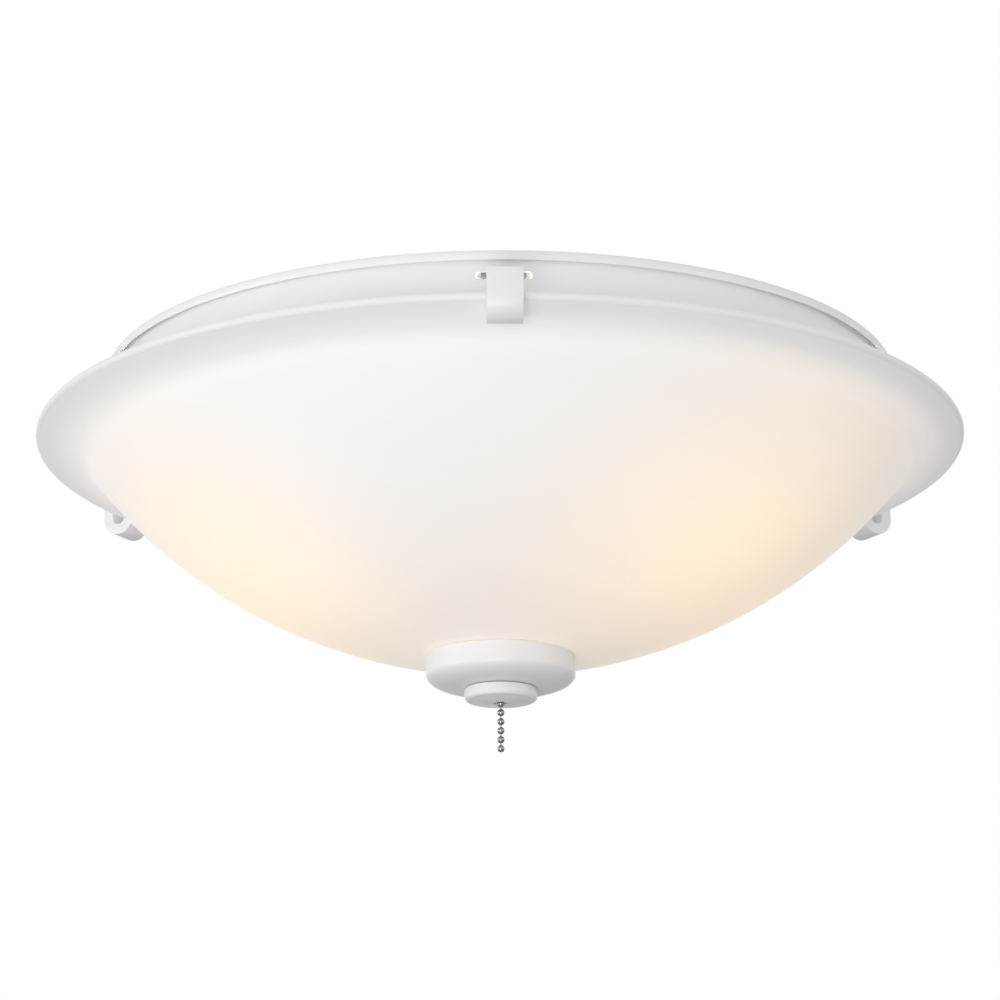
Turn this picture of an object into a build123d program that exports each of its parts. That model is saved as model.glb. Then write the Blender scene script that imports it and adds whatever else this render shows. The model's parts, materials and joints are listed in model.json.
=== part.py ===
from build123d import *
from math import cos, radians, sin, sqrt, tan
import os

# Ceiling fan light kit, in millimetres. Height zero is the flat top of the mounting pan,
# where the kit is screwed to the fan. +Z is up and the camera's side is -Y.

# Mounting pan, a shallow pressing with a turned-down band
pan_setback = 29.2
pan_sheet = 1.2
band_height = 4.2
band_thickness = 1.6
band_round = 0.6
rib_width = 16.0
rib_height = 1.5
rib_margin = 2.0
fan_screw_ring_radius = 46.0
fan_screw_hole_radius = 2.4
fan_screw_count = 3
fan_screw_turn_angle = 90.0

# Skirt ring inside the band
skirt_gap = 1.3
skirt_sheet = 1.2
skirt_height = 31.9
skirt_flange = 13.0
skirt_screw_count = 6

# Glass bowl with a flared brim
rim_drop = 29.1
rim_radius = 203.2
rim_round = 1.3
brim_width = 20.9
brim_angle = 15.0
brim_fillet = 13.0
glass_wall = 4.0
bowl_depth = 96.0
bowl_seat_margin = 4.8
bowl_hole_gap = 1.9

# Hook clips, each on an arm that slides through a slot in the skirt
front_clip_angle = -90.0
right_clip_angle = 30.0
left_clip_angle = 150.0
clip_width = 14.0
clip_thickness = 5.0
clip_edge_round = 0.4
clip_rim_gap = 1.8
clip_glass_gap = 0.3
leg_rise = 8.6
hook_drop = 11.2
hook_width = 16.5
arm_thickness = 1.6
clip_travel = 10.0
tail_length = 3.0
tail_shoulder = 2.4
tail_clearance = 0.4
slot_side_gap = 4.5
slot_play = 0.6
slot_lift = 0.3

# Bracket of each clip: a strip under the pan with a stirrup round the arm and a spring anchor
bracket_sheet = 0.8
bracket_length = 44.0
bracket_margin = 0.7
stirrup_depth = 2.0
stirrup_setback = 7.8
stirrup_wall = 1.4
anchor_drop = 6.5
anchor_depth = 1.5
rivet_radius = 1.6
rivet_head_radius = 2.8
rivet_head_height = 0.7
rivet_gap = 2.1
rivet_spread = 14.0

# Return spring of each clip
spring_radius = 1.6
spring_wire_radius = 0.3
spring_turns = 9
spring_drop = 1.2

# Heat shield, wire bushing and ground screw
shield_margin = 4.0
shield_sheet = 0.8
shield_lip = 4.0
shield_hole_share = 2.0
bushing_bore = 8.0
bushing_wall = 1.4
bushing_flange = 2.6
bushing_flange_height = 1.4
bushing_length = 6.0
ground_screw_angle = 135.0

# Switch cup, switch, nozzle and coupling
cup_radius = 34.0
cup_sheet = 1.0
cup_flange = 7.0
cup_round = 3.0
cup_screw_count = 3
cup_screw_turn_angle = 30.0
switch_length = 26.0
switch_width = 17.0
switch_height = 12.0
switch_round = 2.0
switch_chamfer = 1.0
switch_headroom = 2.5
nozzle_radius = 4.7
nozzle_bore = 2.6
nozzle_length = 6.2
nozzle_collar_radius = 6.5
nozzle_collar_height = 1.0
nut_flats = 14.0
nut_height = 4.5
nut_chamfer = 0.5

# Hollow threaded stem
stem_radius = 5.1
stem_bore = 3.4
stem_end_gap = 0.5
stem_grip = 4.0

# Lamp bracket with a leg behind each socket
lamp_bracket_sheet = 1.5
lamp_bracket_margin = 2.1
lamp_bracket_span = 47.0
lamp_bracket_bend = 2.5
lead_hole_radius = 4.0

# Sockets and lamps, along the X axis
socket_headroom = 5.5
socket_length = 33.5
socket_wall = 2.4
socket_floor = 4.5
socket_mouth_round = 0.8
shell_gap = 0.3
shell_sheet = 0.6
shell_setback = 2.0
contact_radius = 4.5
contact_height = 1.2
shell_opening = 9.0
contact_button_radius = 2.0
contact_button_height = 2.3
socket_screw_spread = 20.0
lamp_base_radius = 13.2
lamp_base_gap = 0.5
lamp_base_shoulder = 0.8
lamp_tip_radius = 4.0
lamp_tip_height = 2.2
lamp_foot_radius = 9.5
lamp_foot_height = 1.5
collar_step = 0.8
collar_length = 26.0
globe_radius = 24.0
globe_offset = 11.0

# Washer and gaskets at the glass
washer_radius = 16.0
washer_height = 1.2
gasket_radius = 15.0
gasket_height = 1.5
cap_gasket_width = 6.0

# Finial cap and knob
cap_radius = 32.4
cap_height = 14.2
cap_edge_round = 0.6
cap_curve_width = 14.0
cap_curve_height = 6.0
cap_glass_gap = 0.3
cap_rim_width = 3.4
cap_ledge = 1.5
cap_boss_wall = 3.5
cap_floor = 3.2
knob_radius = 15.75
knob_height = 5.2
knob_gap = 0.3
knob_edge_round = 0.5
knob_lower_round = 1.1
knob_rim_width = 2.2
knob_neck_wall = 2.9
knob_neck_gap = 0.4
knob_neck_height = 7.0
knob_floor = 2.4
knob_hole_radius = 3.15
knob_crown = 1.2
knob_crown_middle_share = 0.55

# Bead chain
bead_radius = 1.6
bead_gap = 0.76
chain_wire_radius = 0.45
chain_joint_gap = 0.15
chain_exit_drop = 1.2
beads_above_joint = 1
beads_in_end = 3

# Small screws and clearances
screw_radius = 1.9
screw_head_radius = 2.9
screw_head_height = 2.0
screw_head_round = 0.7
hole_clearance = 0.1
thread_clearance = 0.1
slide_gap = 0.3
overrun = 5.0

at_base = (Align.CENTER, Align.CENTER, Align.MIN)
at_top = (Align.CENTER, Align.CENTER, Align.MAX)


def write_node(built, node):
    """Label a finished piece and write it as its own file."""
    built.part.label = node
    export_step(built.part, f"parts/{node}.step")


def upright_plane(angle):
    """Plane through the axis at an angle: its x runs outward and its y runs up."""
    turn = radians(angle)
    return Plane(origin=(0, 0, 0), x_dir=(cos(turn), sin(turn), 0), z_dir=(sin(turn), -cos(turn), 0))


def facing_plane(angle, height):
    """Plane on the axis at a height, whose normal points outward at an angle."""
    turn = radians(angle)
    return Plane(origin=(0, 0, height), x_dir=(-sin(turn), cos(turn), 0), z_dir=(cos(turn), sin(turn), 0))


def round_place(radius, angle):
    """Point on a circle round the axis, in plan."""
    return (radius * cos(radians(angle)), radius * sin(radians(angle)))


os.makedirs("parts", exist_ok=True)

# Places that several pieces share
pan_radius = rim_radius - pan_setback
pan_underside = -pan_sheet
band_inner = pan_radius - band_thickness
skirt_radius = band_inner - skirt_gap
skirt_inner = skirt_radius - skirt_sheet
skirt_screw_place = skirt_inner - skirt_flange / 2
screw_hole_radius = screw_radius + hole_clearance
rim_height = -rim_drop

# Clip places: the arm rises inward from the leg's outer top edge to a tail under the bracket
clip_angles = {"front": front_clip_angle, "right": right_clip_angle, "left": left_clip_angle}
leg_radius = rim_radius + clip_rim_gap + clip_thickness
leg_top = rim_height + leg_rise
bracket_bottom = pan_underside - bracket_sheet
stirrup_outer = skirt_inner - stirrup_setback
stirrup_inner = stirrup_outer - stirrup_depth
tail_outer = stirrup_inner - clip_travel - hole_clearance
tail_inner = tail_outer - tail_length
arm_slope = (bracket_bottom - tail_clearance - leg_top) / (leg_radius - tail_inner)
arm_rise = arm_thickness * sqrt(1 + arm_slope**2)
anchor_radius = stirrup_outer - bracket_length
tail_width = clip_width + tail_shoulder * 2
bracket_width = rivet_spread + (rivet_head_radius + bracket_margin) * 2
rivet_place = tail_inner - rivet_head_radius - rivet_gap
rivet_hole_radius = rivet_radius + hole_clearance

# Rings inside the brackets, and the places at the wire hole
rib_radius = anchor_radius - rib_margin - rib_width / 2
shield_radius = rib_radius - rib_width / 2 - shield_margin
shield_opening = cup_radius - shield_lip
cup_screw_place = cup_radius + cup_flange / 2
bushing_radius = bushing_bore + bushing_wall
ground_screw_place = (bushing_radius + bushing_flange + shield_opening) / 2

# Radii that follow the stem and the finial cap
bowl_hole_radius = stem_radius + bowl_hole_gap
bowl_seat_radius = cap_radius + bowl_seat_margin


def arm_top(out):
    """Height of the arm's upper face at a distance from the axis."""
    return leg_top + (leg_radius - out) * arm_slope


def rivet_points():
    """Plan positions of all bracket rivets."""
    return [
        (
            rivet_place * cos(radians(angle)) - across * sin(radians(angle)),
            rivet_place * sin(radians(angle)) + across * cos(radians(angle)),
        )
        for angle in clip_angles.values()
        for across in (-rivet_spread / 2, rivet_spread / 2)
    ]


# Mounting pan: flat plate, raised stiffening ring and turned-down band
with BuildPart() as mounting_pan:
    with BuildSketch(Plane.XZ):
        with BuildLine():
            Polyline(
                (0, 0),
                (rib_radius - rib_width / 2, 0),
                (rib_radius - rib_width / 4, rib_height),
                (rib_radius + rib_width / 4, rib_height),
                (rib_radius + rib_width / 2, 0),
                (pan_radius, 0),
                (pan_radius, -band_height),
                (band_inner, -band_height),
                (band_inner, pan_underside),
                (rib_radius + rib_width / 2, pan_underside),
                (rib_radius + rib_width / 4, rib_height - pan_sheet),
                (rib_radius - rib_width / 4, rib_height - pan_sheet),
                (rib_radius - rib_width / 2, pan_underside),
                (0, pan_underside),
                close=True,
            )
        make_face()
    revolve(axis=Axis.Z)
    fillet(mounting_pan.edges().filter_by(GeomType.CIRCLE).group_by(SortBy.RADIUS)[-1], band_round)
    with BuildSketch():
        Circle(bushing_radius + hole_clearance)
        with PolarLocations(fan_screw_ring_radius, fan_screw_count, start_angle=fan_screw_turn_angle):
            Circle(fan_screw_hole_radius)
        with PolarLocations(cup_screw_place, cup_screw_count, start_angle=cup_screw_turn_angle):
            Circle(screw_hole_radius)
        with PolarLocations(skirt_screw_place, skirt_screw_count):
            Circle(screw_hole_radius)
        with Locations(round_place(ground_screw_place, ground_screw_angle)):
            Circle(screw_hole_radius)
        with Locations(*rivet_points()):
            Circle(rivet_hole_radius)
    extrude(amount=pan_sheet + overrun, both=True, mode=Mode.SUBTRACT)
write_node(mounting_pan, "mounting_pan")

# Slots of the skirt, each cut round its clip's arm
slot_width = clip_width + slot_side_gap * 2
slot_height = arm_rise + skirt_sheet * arm_slope + slot_play * 2
slot_height_place = arm_top(skirt_radius - skirt_sheet / 2) - arm_rise / 2 + slot_lift

# Skirt ring: wall with an inward flange under the pan and a slot for each clip
with BuildPart() as skirt_ring:
    with BuildSketch(Plane.XZ):
        with BuildLine():
            Polyline(
                (skirt_radius, pan_underside),
                (skirt_radius, pan_underside - skirt_height),
                (skirt_inner, pan_underside - skirt_height),
                (skirt_inner, pan_underside - skirt_sheet),
                (skirt_inner - skirt_flange, pan_underside - skirt_sheet),
                (skirt_inner - skirt_flange, pan_underside),
                close=True,
            )
        make_face()
    revolve(axis=Axis.Z)
    for angle in clip_angles.values():
        with BuildSketch(facing_plane(angle, slot_height_place)):
            SlotOverall(slot_width, slot_height)
        extrude(amount=skirt_radius + overrun, mode=Mode.SUBTRACT)
        with BuildSketch(upright_plane(angle)):
            with BuildLine():
                Polyline(
                    (anchor_radius - overrun, pan_underside + overrun),
                    (skirt_inner - hole_clearance, pan_underside + overrun),
                    (skirt_inner - hole_clearance, pan_underside - skirt_sheet - overrun),
                    (anchor_radius - overrun, pan_underside - skirt_sheet - overrun),
                    close=True,
                )
            make_face()
        extrude(amount=bracket_width / 2 + slide_gap, both=True, mode=Mode.SUBTRACT)
    with BuildSketch(Plane.XY.offset(pan_underside)):
        with PolarLocations(skirt_screw_place, skirt_screw_count):
            Circle(screw_hole_radius)
    extrude(amount=-(skirt_sheet + overrun), mode=Mode.SUBTRACT)
write_node(skirt_ring, "skirt_ring")

# Screws from below through the skirt's flange into the pan
with BuildPart() as skirt_screws:
    with BuildSketch(Plane.XY.offset(pan_underside - skirt_sheet)):
        with PolarLocations(skirt_screw_place, skirt_screw_count):
            Circle(screw_head_radius)
    extrude(amount=-screw_head_height)
    fillet(skirt_screws.edges().group_by(Axis.Z)[0], screw_head_round)
    with BuildSketch(Plane.XY.offset(pan_underside - skirt_sheet)):
        with PolarLocations(skirt_screw_place, skirt_screw_count):
            Circle(screw_radius)
    extrude(amount=skirt_sheet + pan_sheet)
write_node(skirt_screws, "skirt_screws")

# Glass bowl: one spherical wall with a flared brim and a flat seat round its hole
brim_slope = tan(radians(brim_angle))
brim_half = glass_wall / cos(radians(brim_angle)) / 2
fold_radius = rim_radius - brim_width
fold_height = rim_height - brim_half - brim_width * brim_slope
fold_depth = fold_height - rim_height + bowl_depth
ball_radius = (fold_radius**2 + fold_depth**2) / (2 * fold_depth)
ball_height = rim_height - bowl_depth + ball_radius
inner_ball_radius = ball_radius - glass_wall
brim_top_level = rim_height + brim_half - rim_radius * brim_slope - ball_height
fold_term = brim_top_level * brim_slope
fold_root = sqrt(fold_term**2 - (1 + brim_slope**2) * (brim_top_level**2 - inner_ball_radius**2))
inner_fold_radius = (fold_root - fold_term) / (1 + brim_slope**2)


def ball_surface(ball, out):
    """Height of the lower side of a ball round the bowl's centre."""
    return ball_height - sqrt(ball**2 - out**2)


def brim_underside(out):
    """Height of the brim's underside at a distance from the axis."""
    return rim_height - brim_half - (rim_radius - out) * brim_slope


bowl_seat = ball_surface(ball_radius, bowl_seat_radius)
inner_seat = bowl_seat + glass_wall
inner_seat_radius = sqrt(inner_ball_radius**2 - (ball_height - inner_seat) ** 2)
outer_middle = (bowl_seat_radius + fold_radius) / 2
inner_middle = (inner_seat_radius + inner_fold_radius) / 2

with BuildPart() as glass_bowl:
    with BuildSketch(Plane.XZ) as bowl_outline:
        with BuildLine():
            seat_edge = (bowl_seat_radius, bowl_seat)
            fold_edge = (fold_radius, fold_height)
            Polyline((bowl_hole_radius, inner_seat), (bowl_hole_radius, bowl_seat), seat_edge)
            ThreePointArc(seat_edge, (outer_middle, ball_surface(ball_radius, outer_middle)), fold_edge)
            inner_fold = (inner_fold_radius, ball_surface(inner_ball_radius, inner_fold_radius))
            Polyline(
                fold_edge,
                (rim_radius, rim_height - brim_half),
                (rim_radius, rim_height + brim_half),
                inner_fold,
            )
            inner_seat_edge = (inner_seat_radius, inner_seat)
            inner_arc_point = (inner_middle, ball_surface(inner_ball_radius, inner_middle))
            ThreePointArc(inner_fold, inner_arc_point, inner_seat_edge)
            Line(inner_seat_edge, (bowl_hole_radius, inner_seat))
        make_face()
        fillet(bowl_outline.vertices().group_by(Axis.X)[-1], rim_round)
        fillet(bowl_outline.vertices().sort_by_distance(fold_edge)[0], brim_fillet)
        fillet(bowl_outline.vertices().sort_by_distance(inner_fold)[0], brim_fillet + glass_wall)
    revolve(axis=Axis.Z)
write_node(glass_bowl, "glass_bowl")

# Hook clips: leg outside the rim, round hook under the brim, arm through the skirt's slot
hook_outer = hook_width / 2
hook_inner = hook_outer - clip_thickness
hook_middle = leg_radius - hook_outer
hook_height = rim_height - hook_drop + hook_outer
for side, angle in clip_angles.items():
    with BuildPart() as clip:
        with BuildSketch(upright_plane(angle)):
            with Locations((hook_middle, hook_height)):
                Circle(hook_outer)
                Circle(hook_inner, mode=Mode.SUBTRACT)
            with BuildLine():
                Polyline(
                    (hook_middle - hook_width, hook_height),
                    (hook_middle - hook_width, hook_height + hook_width),
                    (leg_radius + overrun, hook_height + hook_width),
                    (leg_radius + overrun, hook_height),
                    close=True,
                )
            make_face(mode=Mode.SUBTRACT)
            with BuildLine():
                Polyline(
                    (fold_radius, brim_underside(fold_radius) - clip_glass_gap),
                    (rim_radius, brim_underside(rim_radius) - clip_glass_gap),
                    (rim_radius, hook_height + hook_width),
                    (fold_radius, hook_height + hook_width),
                    close=True,
                )
            make_face(mode=Mode.SUBTRACT)
            with BuildLine():
                Polyline(
                    (leg_radius, hook_height),
                    (leg_radius, leg_top),
                    (leg_radius - clip_thickness, arm_top(leg_radius - clip_thickness)),
                    (leg_radius - clip_thickness, hook_height),
                    close=True,
                )
            make_face()
        extrude(amount=clip_width / 2, both=True)
        outer_edges = clip.edges().filter_by(GeomType.LINE).filter_by(Axis.Z).sort_by_distance(
            (*round_place(leg_radius, angle), leg_top)
        )
        fillet(outer_edges[0:2], clip_edge_round)
        with BuildSketch(upright_plane(angle)):
            with BuildLine():
                Polyline(
                    (leg_radius - clip_thickness, arm_top(leg_radius - clip_thickness)),
                    (tail_inner, arm_top(tail_inner)),
                    (tail_inner, arm_top(tail_inner) - arm_rise),
                    (leg_radius - clip_thickness, arm_top(leg_radius - clip_thickness) - arm_rise),
                    close=True,
                )
            make_face()
        extrude(amount=clip_width / 2, both=True)
        with BuildSketch(upright_plane(angle)):
            with BuildLine():
                Polyline(
                    (tail_outer, arm_top(tail_outer)),
                    (tail_inner, arm_top(tail_inner)),
                    (tail_inner, arm_top(tail_inner) - arm_rise),
                    (tail_outer, arm_top(tail_outer) - arm_rise),
                    close=True,
                )
            make_face()
        extrude(amount=tail_width / 2, both=True)
    write_node(clip, f"clip_{side}")

# Clip brackets: strip riveted under the pan, stirrup round the arm, anchor tab for the spring
stirrup_top = arm_top(stirrup_inner) + slide_gap
stirrup_floor = arm_top(stirrup_outer) - arm_rise - slide_gap
with BuildPart() as clip_brackets:
    for angle in clip_angles.values():
        with BuildSketch(upright_plane(angle)):
            with BuildLine():
                Polyline(
                    (anchor_radius, pan_underside),
                    (stirrup_outer, pan_underside),
                    (stirrup_outer, bracket_bottom),
                    (anchor_radius, bracket_bottom),
                    close=True,
                )
            make_face()
        extrude(amount=bracket_width / 2, both=True)
        with BuildSketch(upright_plane(angle)):
            with BuildLine():
                Polyline(
                    (anchor_radius, bracket_bottom),
                    (anchor_radius + anchor_depth, bracket_bottom),
                    (anchor_radius + anchor_depth, bracket_bottom - anchor_drop),
                    (anchor_radius, bracket_bottom - anchor_drop),
                    close=True,
                )
            make_face()
        extrude(amount=clip_width / 2, both=True)
        with BuildSketch(upright_plane(angle)):
            with BuildLine():
                Polyline(
                    (stirrup_inner, bracket_bottom),
                    (stirrup_outer, bracket_bottom),
                    (stirrup_outer, stirrup_floor - stirrup_wall),
                    (stirrup_inner, stirrup_floor - stirrup_wall),
                    close=True,
                )
            make_face()
        extrude(amount=clip_width / 2 + slide_gap + stirrup_wall, both=True)
        with BuildSketch(upright_plane(angle)):
            with BuildLine():
                Polyline(
                    (stirrup_inner - stirrup_depth, stirrup_top),
                    (stirrup_outer + stirrup_depth, stirrup_top),
                    (stirrup_outer + stirrup_depth, stirrup_floor),
                    (stirrup_inner - stirrup_depth, stirrup_floor),
                    close=True,
                )
            make_face()
        extrude(amount=clip_width / 2 + slide_gap, both=True, mode=Mode.SUBTRACT)
    with BuildSketch(Plane.XY.offset(pan_underside)):
        with Locations(*rivet_points()):
            Circle(rivet_hole_radius)
    extrude(amount=-bracket_sheet, mode=Mode.SUBTRACT)
write_node(clip_brackets, "clip_brackets")

# Rivets through pan and brackets, with a head on each side
with BuildPart() as bracket_rivets:
    for base, amount, radius in (
        (0, rivet_head_height, rivet_head_radius),
        (bracket_bottom, -rivet_head_height, rivet_head_radius),
        (bracket_bottom, pan_sheet + bracket_sheet, rivet_radius),
    ):
        with BuildSketch(Plane.XY.offset(base)):
            with Locations(*rivet_points()):
                Circle(radius)
        extrude(amount=amount)
write_node(bracket_rivets, "bracket_rivets")

# Return springs, from the anchor tab to the clip's tail
spring_height = arm_top(tail_inner) - arm_rise / 2 - spring_drop
spring_start = anchor_radius + anchor_depth + slide_gap + spring_wire_radius
spring_length = tail_inner - slide_gap - spring_wire_radius - spring_start
for side, angle in clip_angles.items():
    outward = (cos(radians(angle)), sin(radians(angle)), 0)
    with BuildPart() as clip_spring:
        with BuildLine() as coil:
            Helix(
                pitch=spring_length / spring_turns,
                height=spring_length,
                radius=spring_radius,
                center=(*round_place(spring_start, angle), spring_height),
                direction=outward,
            )
        with BuildSketch(Plane(origin=coil.line @ 0, z_dir=coil.line % 0)):
            RegularPolygon(spring_wire_radius, side_count=4)
        sweep()
    write_node(clip_spring, f"clip_spring_{side}")

# Heat shield under the pan
shield_bottom = pan_underside - shield_sheet
with BuildPart() as heat_shield:
    with BuildSketch(Plane.XY.offset(pan_underside)):
        Circle(shield_radius)
        Circle(shield_opening, mode=Mode.SUBTRACT)
        with PolarLocations(fan_screw_ring_radius, fan_screw_count, start_angle=fan_screw_turn_angle):
            Circle(fan_screw_hole_radius * shield_hole_share, mode=Mode.SUBTRACT)
        with PolarLocations(cup_screw_place, cup_screw_count, start_angle=cup_screw_turn_angle):
            Circle(screw_hole_radius, mode=Mode.SUBTRACT)
    extrude(amount=-shield_sheet)
write_node(heat_shield, "heat_shield")

# Bushing in the wire hole, flush with the pan's top
with BuildPart() as wire_bushing:
    Cylinder(bushing_radius, bushing_length, align=at_top)
    with Locations((0, 0, pan_underside)):
        Cylinder(bushing_radius + bushing_flange, bushing_flange_height, align=at_top)
    with BuildSketch():
        Circle(bushing_bore)
    extrude(amount=-(bushing_length + overrun), mode=Mode.SUBTRACT)
write_node(wire_bushing, "wire_bushing")

# Ground screw inside the cup
with BuildPart() as ground_screw:
    ground_place = round_place(ground_screw_place, ground_screw_angle)
    with BuildSketch(Plane.XY.offset(pan_underside)):
        with Locations(ground_place):
            RegularPolygon(screw_head_radius, side_count=6)
    extrude(amount=-screw_head_height)
    with BuildSketch(Plane.XY.offset(pan_underside)):
        with Locations(ground_place):
            Circle(screw_radius)
    extrude(amount=pan_sheet)
write_node(ground_screw, "ground_screw")

# Switch cup, drawn sheet with a flange screwed up through the heat shield
switch_top = -bushing_length - switch_headroom
switch_bottom = switch_top - switch_height
nozzle_end = switch_bottom - nozzle_length
cup_floor_top = nozzle_end - stem_grip
cup_floor_bottom = cup_floor_top - cup_sheet
with BuildPart() as switch_cup:
    with BuildSketch(Plane.XZ) as cup_outline:
        with BuildLine():
            Polyline(
                (stem_radius + thread_clearance, cup_floor_bottom),
                (cup_radius, cup_floor_bottom),
                (cup_radius, shield_bottom - cup_sheet),
                (cup_radius + cup_flange, shield_bottom - cup_sheet),
                (cup_radius + cup_flange, shield_bottom),
                (cup_radius - cup_sheet, shield_bottom),
                (cup_radius - cup_sheet, cup_floor_top),
                (stem_radius + thread_clearance, cup_floor_top),
                close=True,
            )
        make_face()
        fillet(cup_outline.vertices().sort_by_distance((cup_radius, cup_floor_bottom))[0], cup_round)
        fillet(
            cup_outline.vertices().sort_by_distance((cup_radius - cup_sheet, cup_floor_top))[0],
            cup_round - cup_sheet,
        )
    revolve(axis=Axis.Z)
    with BuildSketch(Plane.XY.offset(shield_bottom)):
        with PolarLocations(cup_screw_place, cup_screw_count, start_angle=cup_screw_turn_angle):
            Circle(screw_hole_radius)
    extrude(amount=-cup_sheet, mode=Mode.SUBTRACT)
write_node(switch_cup, "switch_cup")

# Screws that hold the cup and the heat shield
with BuildPart() as cup_screws:
    with BuildSketch(Plane.XY.offset(shield_bottom - cup_sheet)):
        with PolarLocations(cup_screw_place, cup_screw_count, start_angle=cup_screw_turn_angle):
            Circle(screw_head_radius)
    extrude(amount=-screw_head_height)
    fillet(cup_screws.edges().group_by(Axis.Z)[0], screw_head_round)
    with BuildSketch(Plane.XY.offset(shield_bottom - cup_sheet)):
        with PolarLocations(cup_screw_place, cup_screw_count, start_angle=cup_screw_turn_angle):
            Circle(screw_radius)
    extrude(amount=cup_sheet + shield_sheet + pan_sheet)
write_node(cup_screws, "cup_screws")

# Pull-chain switch: body, and a threaded nozzle that the chain leaves by
with BuildPart() as switch_body:
    with Locations((0, 0, switch_top)):
        Box(switch_length, switch_width, switch_height, align=at_top)
    fillet(switch_body.edges().filter_by(Axis.Z), switch_round)
    chamfer(switch_body.edges().group_by(Axis.Z)[-1], switch_chamfer)
write_node(switch_body, "switch_body")

with BuildPart() as switch_nozzle:
    with Locations((0, 0, switch_bottom)):
        Cylinder(nozzle_collar_radius, nozzle_collar_height, align=at_top)
        Cylinder(nozzle_radius, nozzle_length, align=at_top)
    with BuildSketch(Plane.XY.offset(switch_bottom)):
        Circle(nozzle_bore)
    extrude(amount=-nozzle_length, mode=Mode.SUBTRACT)
write_node(switch_nozzle, "switch_nozzle")

# Coupling on the cup's floor, which joins the nozzle to the stem
coupling_top = switch_bottom - nozzle_collar_height - slide_gap
with BuildPart() as stem_coupling:
    with BuildSketch(Plane.XY.offset(cup_floor_top)):
        RegularPolygon(nut_flats / 2, side_count=6, major_radius=False)
    extrude(amount=coupling_top - cup_floor_top)
    chamfer(stem_coupling.edges().filter_by(Plane.XY), nut_chamfer)
    with BuildSketch(Plane.XY.offset(nozzle_end)):
        Circle(nozzle_radius + thread_clearance / 2)
    extrude(amount=coupling_top - nozzle_end, mode=Mode.SUBTRACT)
    with BuildSketch(Plane.XY.offset(cup_floor_top)):
        Circle(stem_radius + thread_clearance / 2)
    extrude(amount=nozzle_end - cup_floor_top, mode=Mode.SUBTRACT)
write_node(stem_coupling, "stem_coupling")

# Lamp bracket: strip under the cup with a leg down each side
strip_bottom = cup_floor_bottom - lamp_bracket_sheet
socket_inner = lamp_base_radius + lamp_base_gap + shell_sheet + shell_gap
socket_radius = socket_inner + socket_wall
lamp_height = strip_bottom - socket_headroom - socket_radius
leg_bottom = lamp_height - socket_radius
half_span = lamp_bracket_span / 2
lamp_bracket_width = socket_screw_spread + (screw_head_radius + lamp_bracket_margin) * 2
socket_screw_points = [(0, socket_screw_spread / 2), (0, -socket_screw_spread / 2)]
with BuildPart() as lamp_bracket:
    with BuildSketch(Plane.XZ) as strip_outline:
        with BuildLine():
            Polyline(
                (-half_span, leg_bottom),
                (-half_span, cup_floor_bottom),
                (half_span, cup_floor_bottom),
                (half_span, leg_bottom),
                (half_span - lamp_bracket_sheet, leg_bottom),
                (half_span - lamp_bracket_sheet, strip_bottom),
                (-half_span + lamp_bracket_sheet, strip_bottom),
                (-half_span + lamp_bracket_sheet, leg_bottom),
                close=True,
            )
        make_face()
        fillet(strip_outline.vertices().group_by(Axis.Y)[-1], lamp_bracket_bend)
        fillet(strip_outline.vertices().group_by(Axis.Y)[-2], lamp_bracket_bend - lamp_bracket_sheet)
    extrude(amount=lamp_bracket_width / 2, both=True)
    with BuildSketch(Plane.XY.offset(strip_bottom)):
        Circle(stem_radius + thread_clearance)
    extrude(amount=lamp_bracket_sheet, mode=Mode.SUBTRACT)
    with BuildSketch(facing_plane(0, lamp_height)):
        Circle(lead_hole_radius)
        with Locations(*socket_screw_points):
            Circle(screw_hole_radius)
    extrude(amount=half_span + overrun, both=True, mode=Mode.SUBTRACT)
write_node(lamp_bracket, "lamp_bracket")

with BuildPart() as bracket_nut:
    with BuildSketch(Plane.XY.offset(strip_bottom)):
        RegularPolygon(nut_flats / 2, side_count=6, major_radius=False)
        Circle(stem_radius + thread_clearance / 2, mode=Mode.SUBTRACT)
    extrude(amount=-nut_height)
write_node(bracket_nut, "bracket_nut")

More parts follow.
